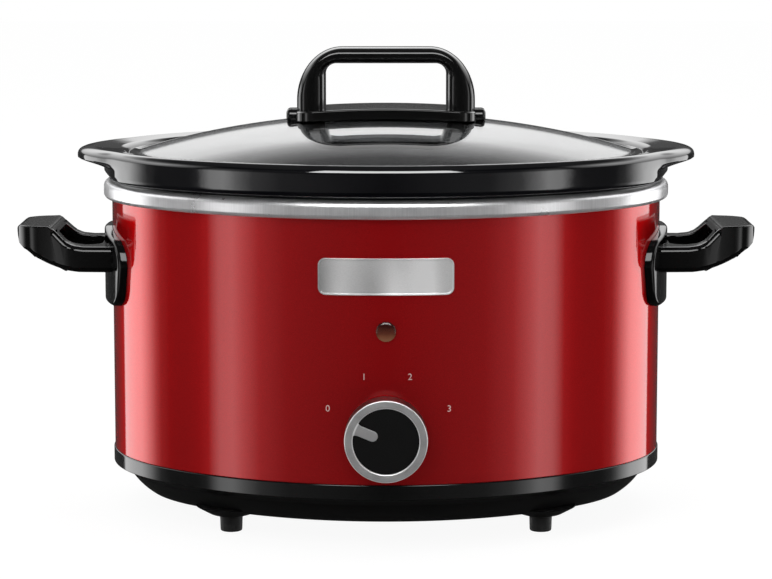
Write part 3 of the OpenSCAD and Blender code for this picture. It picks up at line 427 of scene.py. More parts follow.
def liner_metal():
    """Spun aluminium: soft mottling and fine marks down the wall."""
    f = Finish("liner_metal")
    marks = f.noise(f.at(1, 1, 0.02), 1500, 3)
    mottle = f.noise(f.at(), 70, 4)
    tone = mottle * 0.65 + marks * 0.35
    return f.done({
        "Base Color": f.ramp(tone, (0.34, (0.70, 0.70, 0.71)), (0.66, (0.88, 0.88, 0.89))),
        "Metallic": 0.72, "Roughness": f.spread(mottle, 0.27, 0.34),
        "Normal": f.bump(marks * 0.6 + mottle * 0.4, 0.00003, 0.3),
    })


def gloss_plastic(name, tone=0.005, low=0.08, high=0.13, shine=0.5):
    """Polished black moulding with a faint unevenness."""
    f = Finish(name)
    wave = f.noise(f.at(), 45, 2)
    grain = f.noise(f.at(), 900, 3)
    return f.done({
        "Base Color": f.levels(grain, (0.3, tone * 0.8), (0.7, tone * 1.3)),
        "Roughness": f.spread(grain, low, high), "Specular IOR Level": shine,
        "Normal": f.bump(wave, 0.00010, 0.35),
    })


BAND_DROP = 13.6  # from the pan's top down to where the polish of its band ends


def pan_plastic():
    """Black moulding: a polished band over a satin belly with a fine spark grain."""
    f = Finish("pan_plastic")
    line, soft = (PAN_HIGH.z - BAND_DROP) * MM, 0.4 * MM
    belly = f.between(f.axes()[2], line - soft, line + soft, 1.0, 0.0, "SMOOTHSTEP")
    grain = f.noise(f.at(), 1500, 3)
    return f.done({
        "Base Color": f.levels(grain, (0.3, 0.003), (0.7, 0.006)), "IOR": 1.6,
        "Roughness": belly * 0.30 + f.spread(grain, 0.07, 0.11),
        "Normal": f.bump(grain * belly, 0.00008, 0.5),
    })


def stoneware_glaze():
    """Black glaze, deep and slightly uneven."""
    f = Finish("stoneware_glaze")
    wave = f.noise(f.at(1, 1, 1.6), 34, 2)
    peel = f.noise(f.at(), 420, 2)
    return f.done({
        "Base Color": f.ramp(wave, (0.3, (0.002, 0.002, 0.003)), (0.7, (0.005, 0.005, 0.006))),
        "Roughness": f.spread(peel, 0.03, 0.06), "IOR": 1.8,
        "Normal": f.bump(wave * 0.93 + peel * 0.07, 0.00030, 0.5),
    })


def lid_glass_finish():
    """Smoky tempered glass with the faintest film on it."""
    f = Finish("lid_glass")
    film = f.noise(f.at(), 30, 3)
    return f.done({
        "Base Color": f.ramp(film, (0.3, (0.34, 0.345, 0.35)), (0.7, (0.40, 0.405, 0.41))),
        "Roughness": f.spread(film, 0.0, 0.004), "IOR": 1.47, "Transmission Weight": 1.0,
    })


def turned_metal(name, z, inner, outer):
    """Satin metal with fine rings round an axis at height z, painted highlights along its edges and painted
    shade on its side.
    """
    f = Finish(name)
    x, _, up = f.axes(centre=(0, 0, -z))
    radius = f.math("SQRT", x * x + up * up)
    rings = f.node(
        "ShaderNodeTexNoise", {"noise_dimensions": "1D"}, {"W": radius, "Scale": 9000, "Detail": 2},
    )
    blotch = f.noise(f.at(), 160, 3)
    mix = rings * 0.5 + blotch * 0.5
    # Half width of the painted highlight bands along the ring's edges.
    lip = 0.45 * MM

    def past(line, soft=0.1 * MM):
        """0 inside a radius and 1 outside it."""
        return f.between(radius, line - soft, line + soft)

    # Painted shade: the ring's outer wall is coloured near black to pass for its dark reflection.
    side = past(outer - 0.05 * MM, 0.03 * MM)
    # Painted highlight: thin bands at the ring's outer and inner edges turn near white and a little less
    # metallic.
    edge = past(outer - lip) * (1 - side) + (1 - past(inner + lip)) * past(inner - lip)
    tone = f.blend(edge * 0.8, f.levels(mix, (0.3, 0.44), (0.7, 0.60)), grey(1.0))
    return f.done({
        "Base Color": f.blend(side, tone, grey(0.05)), "Metallic": 0.62 - edge * 0.12,
        "Roughness": f.spread(mix, 0.26, 0.40), "Normal": f.bump(rings, 0.00003, 0.6),
    })


def brushed_metal():
    """Plate with a fine brushed grain and soft cloudy reflections painted into its colour."""
    f = Finish("brushed_metal")
    lines = f.noise(f.at(0.3, 1, 1), 3600, 3)
    # Painted reflection: broad soft clouds, stretched upright, lighten and darken the plate's colour.
    cloud = f.noise(f.at(1, 1, 0.25), 34, 1)
    tone = cloud * 0.93 + lines * 0.07
    return f.done({
        "Base Color": f.levels(tone, (0.36, 0.36), (0.58, 1.0)), "Metallic": 0.4,
        "Roughness": f.spread(lines, 0.28, 0.34), "Normal": f.bump(lines, 0.000004, 0.3),
    })


def satin_black():
    """Dull black insert of the knob."""
    f = Finish("satin_black")
    grain = f.noise(f.at(), 1800, 3)
    return f.done({
        "Base Color": f.levels(grain, (0.3, 0.003), (0.7, 0.007)), "Specular IOR Level": 0.16,
        "Roughness": f.spread(grain, 0.34, 0.44), "Normal": f.bump(grain, 0.00004, 0.4),
    })


def amber_lens():
    """Smoked amber plastic, darker towards its top: painted shade over the top and painted light lower down.
    """
    f = Finish("amber_lens")
    cloud = f.noise(f.at(), 260, 2)
    # Painted shade and light: the colour goes from lit brown at the bottom to near black at the top.
    tone = f.between(f.axes()[2], LENS_LOW.z * MM, LENS_HIGH.z * MM) * 0.85 + cloud * 0.15
    brown, dark, painted_top_shade = (0.36, 0.17, 0.09), (0.15, 0.040, 0.022), (0.05, 0.010, 0.008)
    return f.done({
        "Base Color": f.ramp(tone, (0.12, brown), (0.42, dark), (0.75, painted_top_shade)),
        "Roughness": f.spread(cloud, 0.03, 0.07), "IOR": 1.49, "Transmission Weight": 0.35,
    })


def dial_print():
    """Pale print of the dial's numbers."""
    f = Finish("dial_print")
    worn = f.noise(f.at(), 1400, 3)
    tone = f.ramp(worn, (0.3, (0.62, 0.36, 0.34)), (0.6, (0.78, 0.52, 0.50)))
    return f.done({"Base Color": tone, "Roughness": 0.35})


def plain(name, low, high, rough, scale=600, metallic=0.0):
    """Unpolished material of a piece inside: a grain between two colours."""
    f = Finish(name)
    grain = f.noise(f.at(), scale, 4)
    return f.done({
        "Base Color": f.ramp(grain, (0.3, low), (0.7, high)), "Metallic": metallic,
        "Roughness": f.spread(grain, rough * 0.85, rough * 1.15), "Normal": f.bump(grain, 0.00004, 0.5),
    })


# ---- Heating base ----

SHEET = 0.8


def shell():
    """Painted sheet with a small hem at its lower edge."""
    low, high = SHELL_LOW.z, SHELL_HIGH.z
    return oval_sweep(softened([(0, high), (0, low), (-SHEET, low), (-SHEET, high)], 0.35), closed=True)


MOUTH_IN = 13.1
DRAFT = 0.108
WELL_R = 18
CROWN_Z = LINER_HIGH.z
RIM_OUT = LINER_HIGH.x - HALF_L


def well_in(z):
    """Inset of the well's wall at a height."""
    return MOUTH_IN + (CROWN_Z - z) * DRAFT


def liner():
    """Rolled rim and drawn well, with the sheet's thickness behind."""
    hem, roll, rim_h = 1.5, 3, 8
    floor = LINER_LOW.z + SHEET
    corner = floor + WELL_R
    rim = [(0.4, CROWN_Z - rim_h)]
    rim += arc((RIM_OUT - hem, CROWN_Z - rim_h + hem), hem, -90, 0, 5)
    rim += arc((RIM_OUT - roll, CROWN_Z - roll), roll, 0, 90, 8)
    mouth = [(3 - MOUTH_IN, CROWN_Z), (0.9 - MOUTH_IN, CROWN_Z - 0.9), (-well_in(CROWN_Z - 3), CROWN_Z - 3)]
    wall = arc((-well_in(corner) - WELL_R, corner), WELL_R, 0, -90, 12)
    bm = oval_sweep(rim + mouth + wall + [(MIDDLE, floor)])
    bottom = [e for e in bm.edges if e.is_boundary and e.verts[0].co.z < corner]
    bmesh.ops.holes_fill(bm, edges=bottom, sides=0)
    weld(bm)
    bmesh.ops.solidify(bm, geom=bm.faces[:], thickness=-SHEET)
    return bm


PAN_Z = FOOT_LOW.z + 11.8
BAND_H = 7.7
BAND_Z = SHELL_LOW.z - BAND_H
BOSS_R = 19
PAD_H = 8.7


def pan():
    """Base pan: glossy band, step, bowed belly, flat floor with slots, and the four foot bosses."""
    top, low, wall = (-7.3, BAND_Z - 3.6), (-17.8, PAN_Z), 2.5
    lip_out, lip_in, lip_z, band_out = -0.95, -2.9, SHELL_LOW.z + 6, 0.6
    ledge = [(lip_out, SHELL_LOW.z), (band_out, SHELL_LOW.z)]
    band = softened(ledge + [(band_out, BAND_Z), (-0.4, BAND_Z), top], 0.6)[:-1]
    inside = [(MIDDLE, PAN_Z + wall), (low[0] - wall / 3, PAN_Z + wall), (top[0] - wall, top[1] + wall / 2)]
    inside += [(lip_in, BAND_Z + wall), (lip_in, lip_z), (lip_out, lip_z)]
    outside = [(lip_out, lip_z)] + band + bulge(top, low, 0.9, 12) + [(MIDDLE, PAN_Z)]
    bm = close_holes(oval_sweep(outside + inside))
    slot = round_rect(3, 24, 1.4)
    slots = [
        placed(prism(slot, 9), Matrix.Translation((9 * i, side * 36, PAN_Z - 3)))
        for i in range(-4, 5) for side in (-1, 1)
    ]
    bm = carved(bm, "DIFFERENCE", joined(*slots))
    foot_r = (FOOT_HIGH.x - FOOT_LOW.x) / 2
    cone = softened([(0, PAD_H), (foot_r + 4, PAD_H), (BOSS_R, PAN_Z + 2), (0, PAN_Z + 2)], 1.8)
    bosses = [
        placed(lathe(cone), Matrix.Translation((*foot_place(side, end), 0)))
        for side in (-1, 1) for end in (-1, 1)
    ]
    return joined(bm, *bosses)


def foot_place(side, end):
    """Middle of a foot, as (x, y); side is -1 at the left, and end is -1 at the front."""
    x, y = (FOOT_LOW.x + FOOT_HIGH.x) / 2, (FOOT_LOW.y + FOOT_HIGH.y) / 2
    return side * abs(x), end * abs(y)


def foot(x, y):
    """Rubber foot with its stem and barb."""
    r, stem, top = (FOOT_HIGH.x - FOOT_LOW.x) / 2, 3, FOOT_HIGH.z
    pad = softened([(0, 0), (r - 0.3, 0), (r, PAD_H), (stem, PAD_H)], 0.9, 5)
    barb = [(stem, top - 3), (stem + 1, top - 3), (stem - 1, top), (0, top)]
    return placed(lathe(pad + barb), Matrix.Translation((x, y, 0)))


HANDLE_Z = SHELL_LOW.z + 97.3
TOP_Z = GRIP_HIGH.z
TIP_X = GRIP_HIGH.x
ARM_LOW, ARM_TOP = HANDLE_Z - 1.7, HANDLE_Z + 11.7


def grip_side():
    """Grip and arms from the side, as (x, z): a long bowed underside and a step down to the arms."""
    nose, root, step = 3, HALF_L - 6, TOP_Z - ARM_TOP
    under = bulge((HALF_L + 15.3, ARM_LOW), (TIP_X - nose / 2, TOP_Z - 3.2 * nose), -nose, 14)
    fall = [(31.5, 0), (28.6, 0.17), (22.5, 0.76), (19, 0.93), (13, 1)]
    slope = [(HALF_L + out, TOP_Z - part * step) for out, part in fall]
    tip = arc((TIP_X - nose, TOP_Z - nose), nose, 0, 90, 6)
    return [(root, ARM_LOW)] + under + tip + slope[:1] + softened(slope, 4)[1:] + [(root, ARM_TOP)]


def grip_plan():
    """Grip and arms from above, as (x, y)."""
    root, half, nose = 34.4, 27, 16
    right = [(HALF_L - 20, root), (HALF_L + 4, root), (HALF_L + 18, root - 1), (HALF_L + 30, half + 1.6)]
    right = right[:1] + softened(right, 6)[1:] + arc((TIP_X - nose, half - nose), nose, 84, 0, 10)
    return right + [(x, -y) for x, y in reversed(right)]


def side_handle():
    """Moulded handle: bracket, two arms and the raised grip, every edge eased."""
    upright = Matrix.Rotation(math.pi / 2, 4, "X")
    side = placed(prism(grip_side(), 100), Matrix.Translation((0, 50, 0)) @ upright)
    plan = placed(prism(grip_plan(), 60), Matrix.Translation((0, 0, HANDLE_Z - 20)))
    gap = placed(prism(round_rect(23, 40, 6.9), 80), Matrix.Translation((HALF_L + 16.5, 0, HANDLE_Z - 30)))
    bm = weld(carved(carved(side, "INTERSECT", plan), "DIFFERENCE", gap))

    def outer(edge):
        """Edges of the arms, below their top."""
        return all(abs(v.co.y) > 23 and v.co.z < TOP_Z - 1 for v in edge.verts)

    bevelled(bm, 3, 5, 34, clamp=False, where=outer)
    bevelled(bm, 0.7, 3, 34, clamp=False)
    return joined(bm, bracket())


def bracket():
    """Plate of the side handle, following the shell: narrower below, its top a shallow arch."""
    w, h, drop, pinch, thick = 46, 20.5, 19, 2, 4
    r, low_r = 15.6, 10
    half = arc((w - low_r - pinch, low_r - drop), low_r, -90, -8, 8) + arc((w - r, h - r - 2.9), r, 0, 62, 8)
    outline = half + [(w / 4, h), (-w / 4, h)] + [(-y, z) for y, z in reversed(half)]

    def in_front(edge):
        """Edges away from the back of the plate."""
        return all(v.co.z > 1 for v in edge.verts)

    bm = bevelled(prism(outline, thick), 1.7, 5, 40, clamp=False, where=in_front)
    turn = Matrix(((0, 0, 1, 0.2), (1, 0, 0, 0), (0, 1, 0, HANDLE_Z), (0, 0, 0, 1)))
    return bent_end(sliced(placed(bm, turn), 1, -w, w, 2.5))


def badge():
    """Blank plate with a raised rim, following the shell."""
    w, h = BADGE_HIGH.x - BADGE_LOW.x, BADGE_HIGH.z - BADGE_LOW.z
    thick, rim, dip, sink = 1.0, 0.7, 0.6, 0.1
    bm = prism(round_rect(w, h, 3.6, 8), thick)
    front = max(bm.faces, key=lambda face: face.calc_center_median().z)
    bmesh.ops.inset_region(bm, faces=[front], thickness=rim)
    bmesh.ops.inset_region(bm, faces=[front], thickness=0.25, depth=-dip)
    bevelled(bm, 0.16)
    placed(bm, facing_front(-sink, (BADGE_LOW.z + BADGE_HIGH.z) / 2))
    return bent_front(sliced(bm, 0, -w / 2, w / 2, 1.6))


def lens():
    """Low domed lens with its stem through the shell."""
    r, stem_in, stem, seat, rim = (LENS_HIGH.x - LENS_LOW.x) / 2, 2.75, 3.6, 0.2, 0.9
    front, back = -HALF_W - LENS_LOW.y, -LENS_HIGH.y - HALF_W
    dome = [(r * x, rim + (front - rim) * y) for x, y in arc((0, 0), 1, 0, 90, 10)]
    profile = [(0, 0.6), (2.4, seat), (stem_in, seat), (stem_in, back), (stem, back), (stem, seat), (r, seat)]
    return placed(lathe(profile + dome), facing_front(-HALF_W, (LENS_LOW.z + LENS_HIGH.z) / 2))


def gland():
    """Cord bush: flange, ribbed sleeve and the bore for the cord."""
    bore, r = 3.6, (GLAND_HIGH.x - GLAND_LOW.x) / 2
    inner, tip = GLAND_LOW.y - HALF_W, GLAND_HIGH.y - HALF_W
    ribs = [(5.9 - 0.45 * (i % 2) - 0.05 * i, 3.2 + (tip - 4.2) * i / 11) for i in range(12)]
    line = [(bore, inner), (r - 2.5, inner), (r - 2.5, 0.2), (r, 0.2), (r, 1.6), (r - 0.8, 2.4), (6.3, 2.6)]
    line += ribs + [(bore + 1.4, tip), (bore, tip)]
    outwards = Matrix.Rotation(-math.pi / 2, 4, "X")
    place = Matrix.Translation((0, HALF_W, (GLAND_LOW.z + GLAND_HIGH.z) / 2))
    return placed(lathe(line, closed=True), place @ outwards)


# ---- Crock and lid ----

FLANGE_OUT = CROCK_HIGH.y - HALF_W
CREST_Z = CROCK_HIGH.z
LEDGE_Z = GLASS_LOW.z
LUG_R = 62
LUG_T = 7.4


def crock():
    """Glazed bowl with its flange and ledge; both ends of the flange reach out as lugs."""
    gap, wall, crest_r = 1.5, 7, 4.4
    floor = CROCK_LOW.z
    inside = floor + 8
    in_r = 0.78 * WELL_R
    low, high, neck = floor + WELL_R, inside + in_r, CROWN_Z + 2.4
    line = [(MIDDLE, floor)] + arc((-well_in(low) - gap - WELL_R, low), WELL_R, -90, 0, 12)
    line += [(-well_in(CROWN_Z - 4) - gap, CROWN_Z - 4), (-12.5, CROWN_Z), (0.5, CROWN_Z)]
    under = [(1.5, neck - 0.4), (FLANGE_OUT - 0.4, neck + 0.2), (FLANGE_OUT, neck + 2.6)]
    line += softened([(0.5, CROWN_Z)] + under, 1.4)[1:]
    foot, top = neck + 2.6, CREST_Z - crest_r
    line += [(FLANGE_OUT, foot + (top - foot) * i / 14) for i in range(1, 14)]
    line += arc((FLANGE_OUT - crest_r, top), crest_r, 0, 90, 8)
    line += softened([(0.4, CREST_Z), (-5.4, CREST_Z - 1.6), (-8, LEDGE_Z), (-16, LEDGE_Z)], 1.8, 5)[1:]
    mouth = -well_in(CROWN_Z) - gap - wall
    line += softened([(-16, LEDGE_Z), (-16.4, LEDGE_Z - 1), (mouth, CROWN_Z)], 1.2)[1:]
    line += arc((-well_in(high) - gap - wall - in_r, high), in_r, 0, -90, 12) + [(MIDDLE, inside)]
    return lugged(close_holes(oval_sweep(line)))


def lugged(bm):
    """Pulls the flange's upper part out to the round lugs, and leaves its wall below them."""
    centre = Vector((CROCK_HIGH.x - LUG_R - OVAL_D, 0))
    low, wall_in, blend, half = CREST_Z - LUG_T - 3, 4, 3, 60
    for v in bm.verts:
        ray = Vector((abs(v.co.x) - OVAL_D, v.co.y))
        u = ray.length - END_R
        if u < -1 or abs(v.co.y) > half or v.co.z < CROWN_Z + 1.5:
            continue
        ray.normalize()
        along = centre.dot(ray)
        reach = along + math.sqrt(along * along - centre.length_squared + LUG_R**2) - END_R - FLANGE_OUT
        reach = (reach + math.sqrt(reach * reach + blend)) / 2
        out = smooth(u, -1, FLANGE_OUT)
        part = smooth(v.co.z, low, CREST_Z - LUG_T + 2)
        deep = 1 + smooth(CREST_Z - v.co.z, 12, 17)
        tuck = wall_in * deep * smooth(half - abs(v.co.y), 0, 40) * (1 - part)
        far = END_R + u + out * (reach * part - tuck)
        v.co.x, v.co.y = math.copysign(OVAL_D + ray.x * far, v.co.x), ray.y * far
    return bm


DOME_IN = 13.5
DOME_H = 18.4
DOME_K = 2.1
GLASS_T = 3.4


def dome_z(x, y):
    """Height of the glass over a point near the middle."""
    s = math.hypot(x / (HALF_L - DOME_IN), y / (HALF_W - DOME_IN))
    return GLASS_HIGH.z - DOME_H * s**DOME_K


def glass():
    """Domed glass with a flat edge all round."""
    seat, low = GLASS_LOW.z + GLASS_T, GLASS_LOW.z
    edge = GLASS_HIGH.x - HALF_L
    rim = softened([(-DOME_IN, seat), (edge, seat), (edge, low), (-DOME_IN, low)], 1.4, 5)
    bm = oval_sweep(rim)
    rings, centre = 48, 0.01
    for start in (seat, low):
        edges = [e for e in bm.edges if e.is_boundary and abs(e.verts[0].co.z - start) < 0.01]
        last = 1
        for i in range(rings):
            s = max(centre, 1 - ((i + 1) / rings) ** 1.1)
            made = bmesh.ops.extrude_edge_only(bm, edges=edges)["geom"]
            ring = {v for v in made if isinstance(v, bmesh.types.BMVert)}
            edges = [e for e in made if isinstance(e, bmesh.types.BMEdge) and set(e.verts) <= ring]
            bmesh.ops.scale(bm, vec=(s / last, s / last, 1), verts=list(ring))
            for v in ring:
                v.co.z = start + DOME_H * (1 - s**DOME_K)
            last = s
        bmesh.ops.holes_fill(bm, edges=edges, sides=0)
    return weld(bm)


ARCH_HALF = 47.0
PLATE_TOP = GLASS_HIGH.z + 4.9


def arch_rails():
    """Pairs of points (outer, inner), each (x, z), from the top's middle to the right foot."""
    top, wide, tall, inner, bar, corner = ARCH_HIGH.z, 24, 28, 31.7, 8.7, 5.5
    low, flat, bend = GLASS_HIGH.z + 0.2, inner - corner, top - bar - corner
    pairs = [(((ARCH_HALF - wide) * i / 4, top), (flat * i / 4, top - bar)) for i in range(4)]
    for i in range(25):
        a = math.pi / 2 * (1 - i / 24)
        out = (ARCH_HALF - wide + wide * math.cos(a), top - tall + tall * math.sin(a))
        pairs.append((out, (flat + corner * math.cos(a), bend + corner * math.sin(a))))
    (_, out_z), (_, in_z) = pairs[-1]
    falls = [i / 8 for i in range(1, 9)]
    return pairs + [((ARCH_HALF, out_z + (low - out_z) * t), (inner, in_z + (low - in_z) * t)) for t in falls]


def lid_handle():
    """Arch with a well rounded section, base plate and end ears in one moulding."""
    half = arch_rails()
    mirrored = [[(-x, z) for x, z in pair] for pair in reversed(half[1:])]
    rails = [(Vector(out), Vector(inner)) for out, inner in mirrored + half]
    steps, around, depth, power = len(rails) - 1, 64, 11, 2 / 2.8

    def on_arch(s, t):
        """Point of the arch: s goes round its bar, and t along it."""
        out, inner = rails[round(t * steps)]
        c, n = math.cos(TURN * s), math.sin(TURN * s)
        across, deep = [math.copysign(abs(v) ** power, v) for v in (c, n)]
        middle = (out + inner) / 2 + (out - inner) / 2 * across
        return Vector((middle.x, depth * deep, middle.y))

    arch = close_holes(woven(around, steps, on_arch))
    return joined(arch, plate(), *[ear(side) for side in (-1, 1)])


def plate():
    """Base plate: its underside lies on the dome and its top is arched."""
    half, tall, fall = 24, 10, 2
    bm = bevelled(prism(round_rect(2 * ARCH_HALF, 2 * half, 10, 10), tall), 1.3, 4, 40, clamp=False)
    sliced(sliced(bm, 0, -ARCH_HALF, ARCH_HALF, 3), 1, -half, half, 4)
    for v in bm.verts:
        base = dome_z(v.co.x, v.co.y) + 0.3
        v.co.z = base + v.co.z / tall * (PLATE_TOP - fall * (v.co.x / ARCH_HALF) ** 2 - base)
    return bm


def ear(side):
    """Rounded ear at an end of the plate."""
    width, height, reach, root = 16, 7.6, ARCH_HIGH.x - ARCH_HALF, 3
    bm = bevelled(prism(round_rect(height, width, 3.4, 8), reach + root), 2.1, 5, 40, clamp=False)
    place = Matrix.Translation((side * (ARCH_HALF - root), 0, dome_z(ARCH_HALF, 0) + 2))
    return placed(bm, place @ Matrix.Rotation(side * math.pi / 2, 4, "Y"))


# ---- Control knob and dial ----

KNOB_Z = (RING_LOW.z + RING_HIGH.z) / 2
KNOB_R = RING_HIGH.x
FACE_R = FACE_HIGH.x


def knob_hub():
    """Black core behind the ring."""
    r, depth, bore, hollow, floor = KNOB_R - 1.1, 12, 3, 10.5, 8
    line = [(0, 10.4), (bore, 10.4), (bore, floor), (hollow, floor), (hollow, 0)]
    line += [(r - 0.4, 0), (r, 0.4), (r, depth), (0, depth)]
    return placed(lathe(line), facing_front(RING_HIGH.y + 1, KNOB_Z))


def knob_ring():
    """Silver ring with eased edges and a skirt."""
    depth, skirt = RING_HIGH.y - RING_LOW.y, KNOB_R - 1
    outside = [(skirt, 0), (KNOB_R, 0), (KNOB_R, depth), (FACE_R, depth)]
    line = softened(outside + [(FACE_R, depth - 2), (skirt, depth - 2)], 0.75, 5)
    return placed(lathe(line, closed=True), facing_front(RING_HIGH.y, KNOB_Z))


def knob_face():
    """Black insert."""
    r, depth = FACE_R - 0.05, FACE_HIGH.y - FACE_LOW.y
    return placed(lathe([(0, 0), (r, 0), (r, depth), (0, depth)]), facing_front(FACE_HIGH.y, KNOB_Z))


def pointer():
    """Silver pointer with a round tip, flared where it meets the ring."""
    half, tip, root, lift = 2.6, 4.6, FACE_R + 0.3, RING_LOW.y - FACE_LOW.y
    side = [(half, root - 2.4), (half + 0.35, root - 1.1), (half + 1.3, root - 0.2)]
    outline = arc((0, tip + half), half, 180, 360, 16) + side + [(-x, y) for x, y in reversed(side)]
    bm = bevelled(prism(outline, -lift - 0.1), 0.22, 3, 40)
    turn = Matrix.Rotation(math.radians(67.5), 4, "Z")
    return placed(bm, facing_front(FACE_LOW.y, KNOB_Z) @ turn)


def dial_mark(text, x, z):
    """Printed number, laid on the shell."""
    curve = bpy.data.curves.new("mark", "FONT")
    curve.body, curve.size, curve.align_x, curve.align_y = text, 4.6, "CENTER", "CENTER"
    written = bpy.data.objects.new("mark", curve)
    bpy.context.scene.collection.objects.link(written)
    bm = placed(as_bmesh(written), Matrix.Translation((x, 0, 0)) @ facing_front(-0.06, z))
    return bent_front(sliced(bm, 0, x - 3, x + 3, 1))


# ---- The pieces ----

RED = red_enamel()
LINER = liner_metal()
BLACK = gloss_plastic("gloss_black")
SATIN_BLACK = gloss_plastic("satin_handle", 0.003, 0.07, 0.11, 0.36)
PAN = pan_plastic()
GLAZE = stoneware_glaze()
GLASS = lid_glass_finish()
TURNED = turned_metal("turned_metal", KNOB_Z * MM, FACE_R * MM, KNOB_R * MM)
BRUSHED = brushed_metal()
SATIN = satin_black()
AMBER = amber_lens()
PRINT = dial_print()
RUBBER = plain("rubber", grey(0.005), grey(0.010), 0.60, 500)
BASE, KNOB = "heating_base", "knob"

INSIDE = {
    "steel": plain("plated_steel", grey(0.46), grey(0.60), 0.34, 240, 1.0),
    "silicone": plain("silicone", (0.42, 0.40, 0.38), (0.52, 0.50, 0.47), 0.55),
    "black_plastic": plain("moulded_black", grey(0.012), grey(0.022), 0.40),
    "cream_plastic": plain("cream_plastic", (0.62, 0.56, 0.43), (0.72, 0.66, 0.52), 0.42),
    "brass": plain("brass", (0.60, 0.42, 0.15), (0.74, 0.54, 0.22), 0.30, 240, 1.0),
    "white_ceramic": plain("white_ceramic", grey(0.66), grey(0.78), 0.30),
    "wire_brown": plain("wire_brown", (0.10, 0.035, 0.012), (0.15, 0.055, 0.020), 0.45),
    "wire_black": plain("wire_black", grey(0.010), grey(0.020), 0.45),
    "wire_blue": plain("wire_blue", (0.012, 0.045, 0.24), (0.020, 0.070, 0.34), 0.45),
    "lamp_glass": plain("lamp_glass", (0.62, 0.26, 0.10), (0.80, 0.40, 0.18), 0.12),
}
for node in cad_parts.values():
    for held in node.material_slots:
        if held.name in INSIDE:
            held.material = INSIDE[held.name]

piece("shell", shell(), RED, BASE, "red_enamel", "outer_shell")
piece("liner", liner(), LINER, BASE, "liner_metal", "inner_liner")
piece("pan", pan(), PAN, BASE, "black_plastic", "base_pan")
for end, y in (("front", -1), ("rear", 1)):
    for side, x in (("left", -1), ("right", 1)):
        made = foot(*foot_place(x, y))
        piece(f"foot_{end}_{side}_pad", made, RUBBER, BASE, "black_rubber", f"foot_{end}_{side}")
for side, x in (("left", -1), ("right", 1)):
    handle = weld(placed(side_handle(), Matrix.Diagonal((x, 1, 1, 1))))
    piece(f"{side}_side_handle", handle, SATIN_BLACK, BASE, "black_plastic", f"{side}_handle")
piece("badge", badge(), BRUSHED, BASE, "brushed_metal", "badge_plate")
piece("lens", lens(), AMBER, BASE, "amber_lens", "pilot_lens")
piece("gland", gland(), INSIDE["black_plastic"], BASE, "black_plastic", "cord_gland")
piece("crock", crock(), GLAZE, "crock", "black_stoneware", "stoneware_crock")
piece("glass", glass(), GLASS, "lid", "clear_glass", "lid_glass")
piece("arch", lid_handle(), BLACK, "lid", "black_plastic", "lid_handle")
piece("hub", knob_hub(), BLACK, KNOB, "black_plastic", "knob_hub")
piece("ring", knob_ring(), TURNED, KNOB, "brushed_metal", "knob_ring")
piece("face", knob_face(), SATIN, KNOB, "knob_black", "knob_face")
piece("pointer", pointer(), TURNED, KNOB, "brushed_metal", "knob_pointer")
DIAL = (("0", -28.9, 72.5), ("1", -10.9, 88.7), ("2", 11.9, 88.7), ("3", 31.4, 72.3))
for text, x, z in DIAL:
    piece(f"dial_mark_{text}", dial_mark(text, x, z), PRINT, BASE, None)

# ---- Stage, camera and light ----

WALL_R, WALL_LOW, WALL_TOP = 5.0, -4, 6
FLOOR_HALF = 6
BACKDROP, BOXES, STRIP, CEILING = 2.7, 3.0, 8.0, 0.08


def studio_wall():
    """Wall that only reflections see: a white backdrop, tall softboxes at the sides and a strip in front."""
    f = Finish("studio_wall")
    x, y, z = f.axes()
    turn = f.math("ARCTAN2", f.math("ABSOLUTE", x), y) / math.pi  # 0 behind the cooker, 1 behind the camera
    rise = z / (2 * WALL_TOP) + 0.5  # 0.5 at the table, 1 at the wall's top
    boxes = f.levels(
        turn, (0.0, 0.02), (0.249, 0.02), (0.259, 0.84), (0.385, 1.0), (0.41, 0.82), (0.441, 0.52),
        (0.47, 0.20), (0.495, 0.07), (0.52, 0.02), (0.60, 0.02), (0.622, 0.05), (0.650, 0.58),
        (0.68, 0.66), (0.705, 0.38), (0.74, 0.12), (0.80, 0.04), (1.0, 0.01),
    )
    tall = f.levels(rise, (0.358, 0), (0.392, 1), (0.54, 1), (0.60, 0.3), (0.72, 0.1), (0.78, 0))
    back = f.levels(turn, (0.0, 1.0), (0.50, 0.9), (0.62, 0.02), (1.0, 0.02))
    up = f.levels(
        rise, (0.500, 0.01), (0.542, 0.01), (0.550, 0.04), (0.580, 0.05), (0.604, 0.50), (0.636, 0.66),
        (0.711, 0.96), (0.748, 1.0), (0.792, 0.57), (0.839, 0.28), (0.892, 0.075), (0.948, 0.035),
        (1.0, 0.02),
    )
    high = f.levels(rise, (0.681, 0), (0.692, 1), (0.983, 1), (1.0, 0))
    front = f.levels(turn, (0.845, 0), (0.855, 1))
    ceiling = f.levels(z / WALL_TOP, (0.985, 0), (1.0, 1))
    sides = f.math("MAXIMUM", boxes * tall * BOXES, back * up * BACKDROP)
    glow = sides * (1 - ceiling) + high * front * STRIP + ceiling * CEILING
    return f.done({}, f.node("ShaderNodeEmission", {}, {"Color": (1, 1, 1, 1), "Strength": glow}))


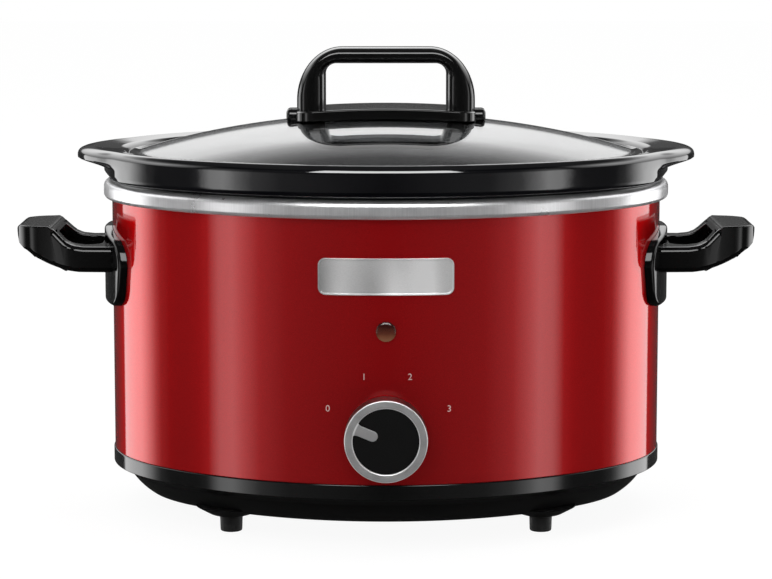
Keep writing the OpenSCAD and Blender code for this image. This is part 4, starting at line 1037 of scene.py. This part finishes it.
def floor_paper():
    """White sweep: plain white to the eye, with the object's shadow kept."""
    f = Finish("floor_paper")
    paper = f.node("ShaderNodeBsdfDiffuse", {}, {"Color": (0.9, 0.9, 0.9, 1)})
    glow = f.node("ShaderNodeEmission", {}, {"Color": (1, 1, 1, 1), "Strength": 1.06})
    return f.done({}, f.node("ShaderNodeMixShader", {}, {0: f.looked_at() * 0.88, 1: paper, 2: glow}))


def flat_floor(s, t):
    """Point of the floor: s and t go from 0 to 1 across it."""
    return Vector(((2 * s - 1) * FLOOR_HALF, (2 * t - 1) * FLOOR_HALF, 0))


def stage_piece(name, bm, finish):
    """Piece of the studio, no part of the cooker."""
    made = solid(bm, name)
    made.data.materials.append(finish)
    return made


floor = stage_piece("floor", woven(1, 1, flat_floor), floor_paper())
floor.visible_glossy = False
drum = lathe([(0, WALL_LOW), (WALL_R, WALL_LOW), (WALL_R, WALL_TOP), (0, WALL_TOP)])
wall = stage_piece("wall", drum, studio_wall())
wall.visible_camera = wall.visible_diffuse = wall.visible_transmission = wall.visible_shadow = False
wall.data.materials[0].cycles.emission_sampling = "NONE"

world = bpy.context.scene.world or bpy.data.worlds.new("studio")
bpy.context.scene.world = world
sky = Finish("studio", world)
brightness = sky.looked_at() * 0.45 + 0.55
light = sky.node("ShaderNodeBackground", {}, {"Color": (1, 1, 1, 1), "Strength": brightness})
sky.node("ShaderNodeOutputWorld", {}, {"Surface": light})


AIM = Vector((0, 0, 0.12))


def softbox(name, place, size, watts):
    """Square lamp aimed at the cooker, left out of reflections."""
    data = bpy.data.lights.new(name, "AREA")
    data.size, data.energy = size, watts
    lamp = bpy.data.objects.new(name, data)
    bpy.context.scene.collection.objects.link(lamp)
    lamp.location = place
    lamp.rotation_euler = (AIM - lamp.location).to_track_quat("-Z", "Y").to_euler()
    lamp.visible_glossy = False


softbox("key", (-1.0, -1.7, 1.8), 1.4, 14)
softbox("top", (0.3, 0.2, 2.2), 1.6, 16)

camera = bpy.data.objects.new("camera", bpy.data.cameras.new("camera"))
bpy.context.scene.collection.objects.link(camera)
bpy.context.scene.camera = camera
camera.location = (0, -1.494, 0.3237)
camera.rotation_euler = (math.radians(82.1), 0, 0)
camera.data.sensor_width = 36
camera.data.lens = 131.8

bpy.context.scene.view_settings.view_transform = "Standard"
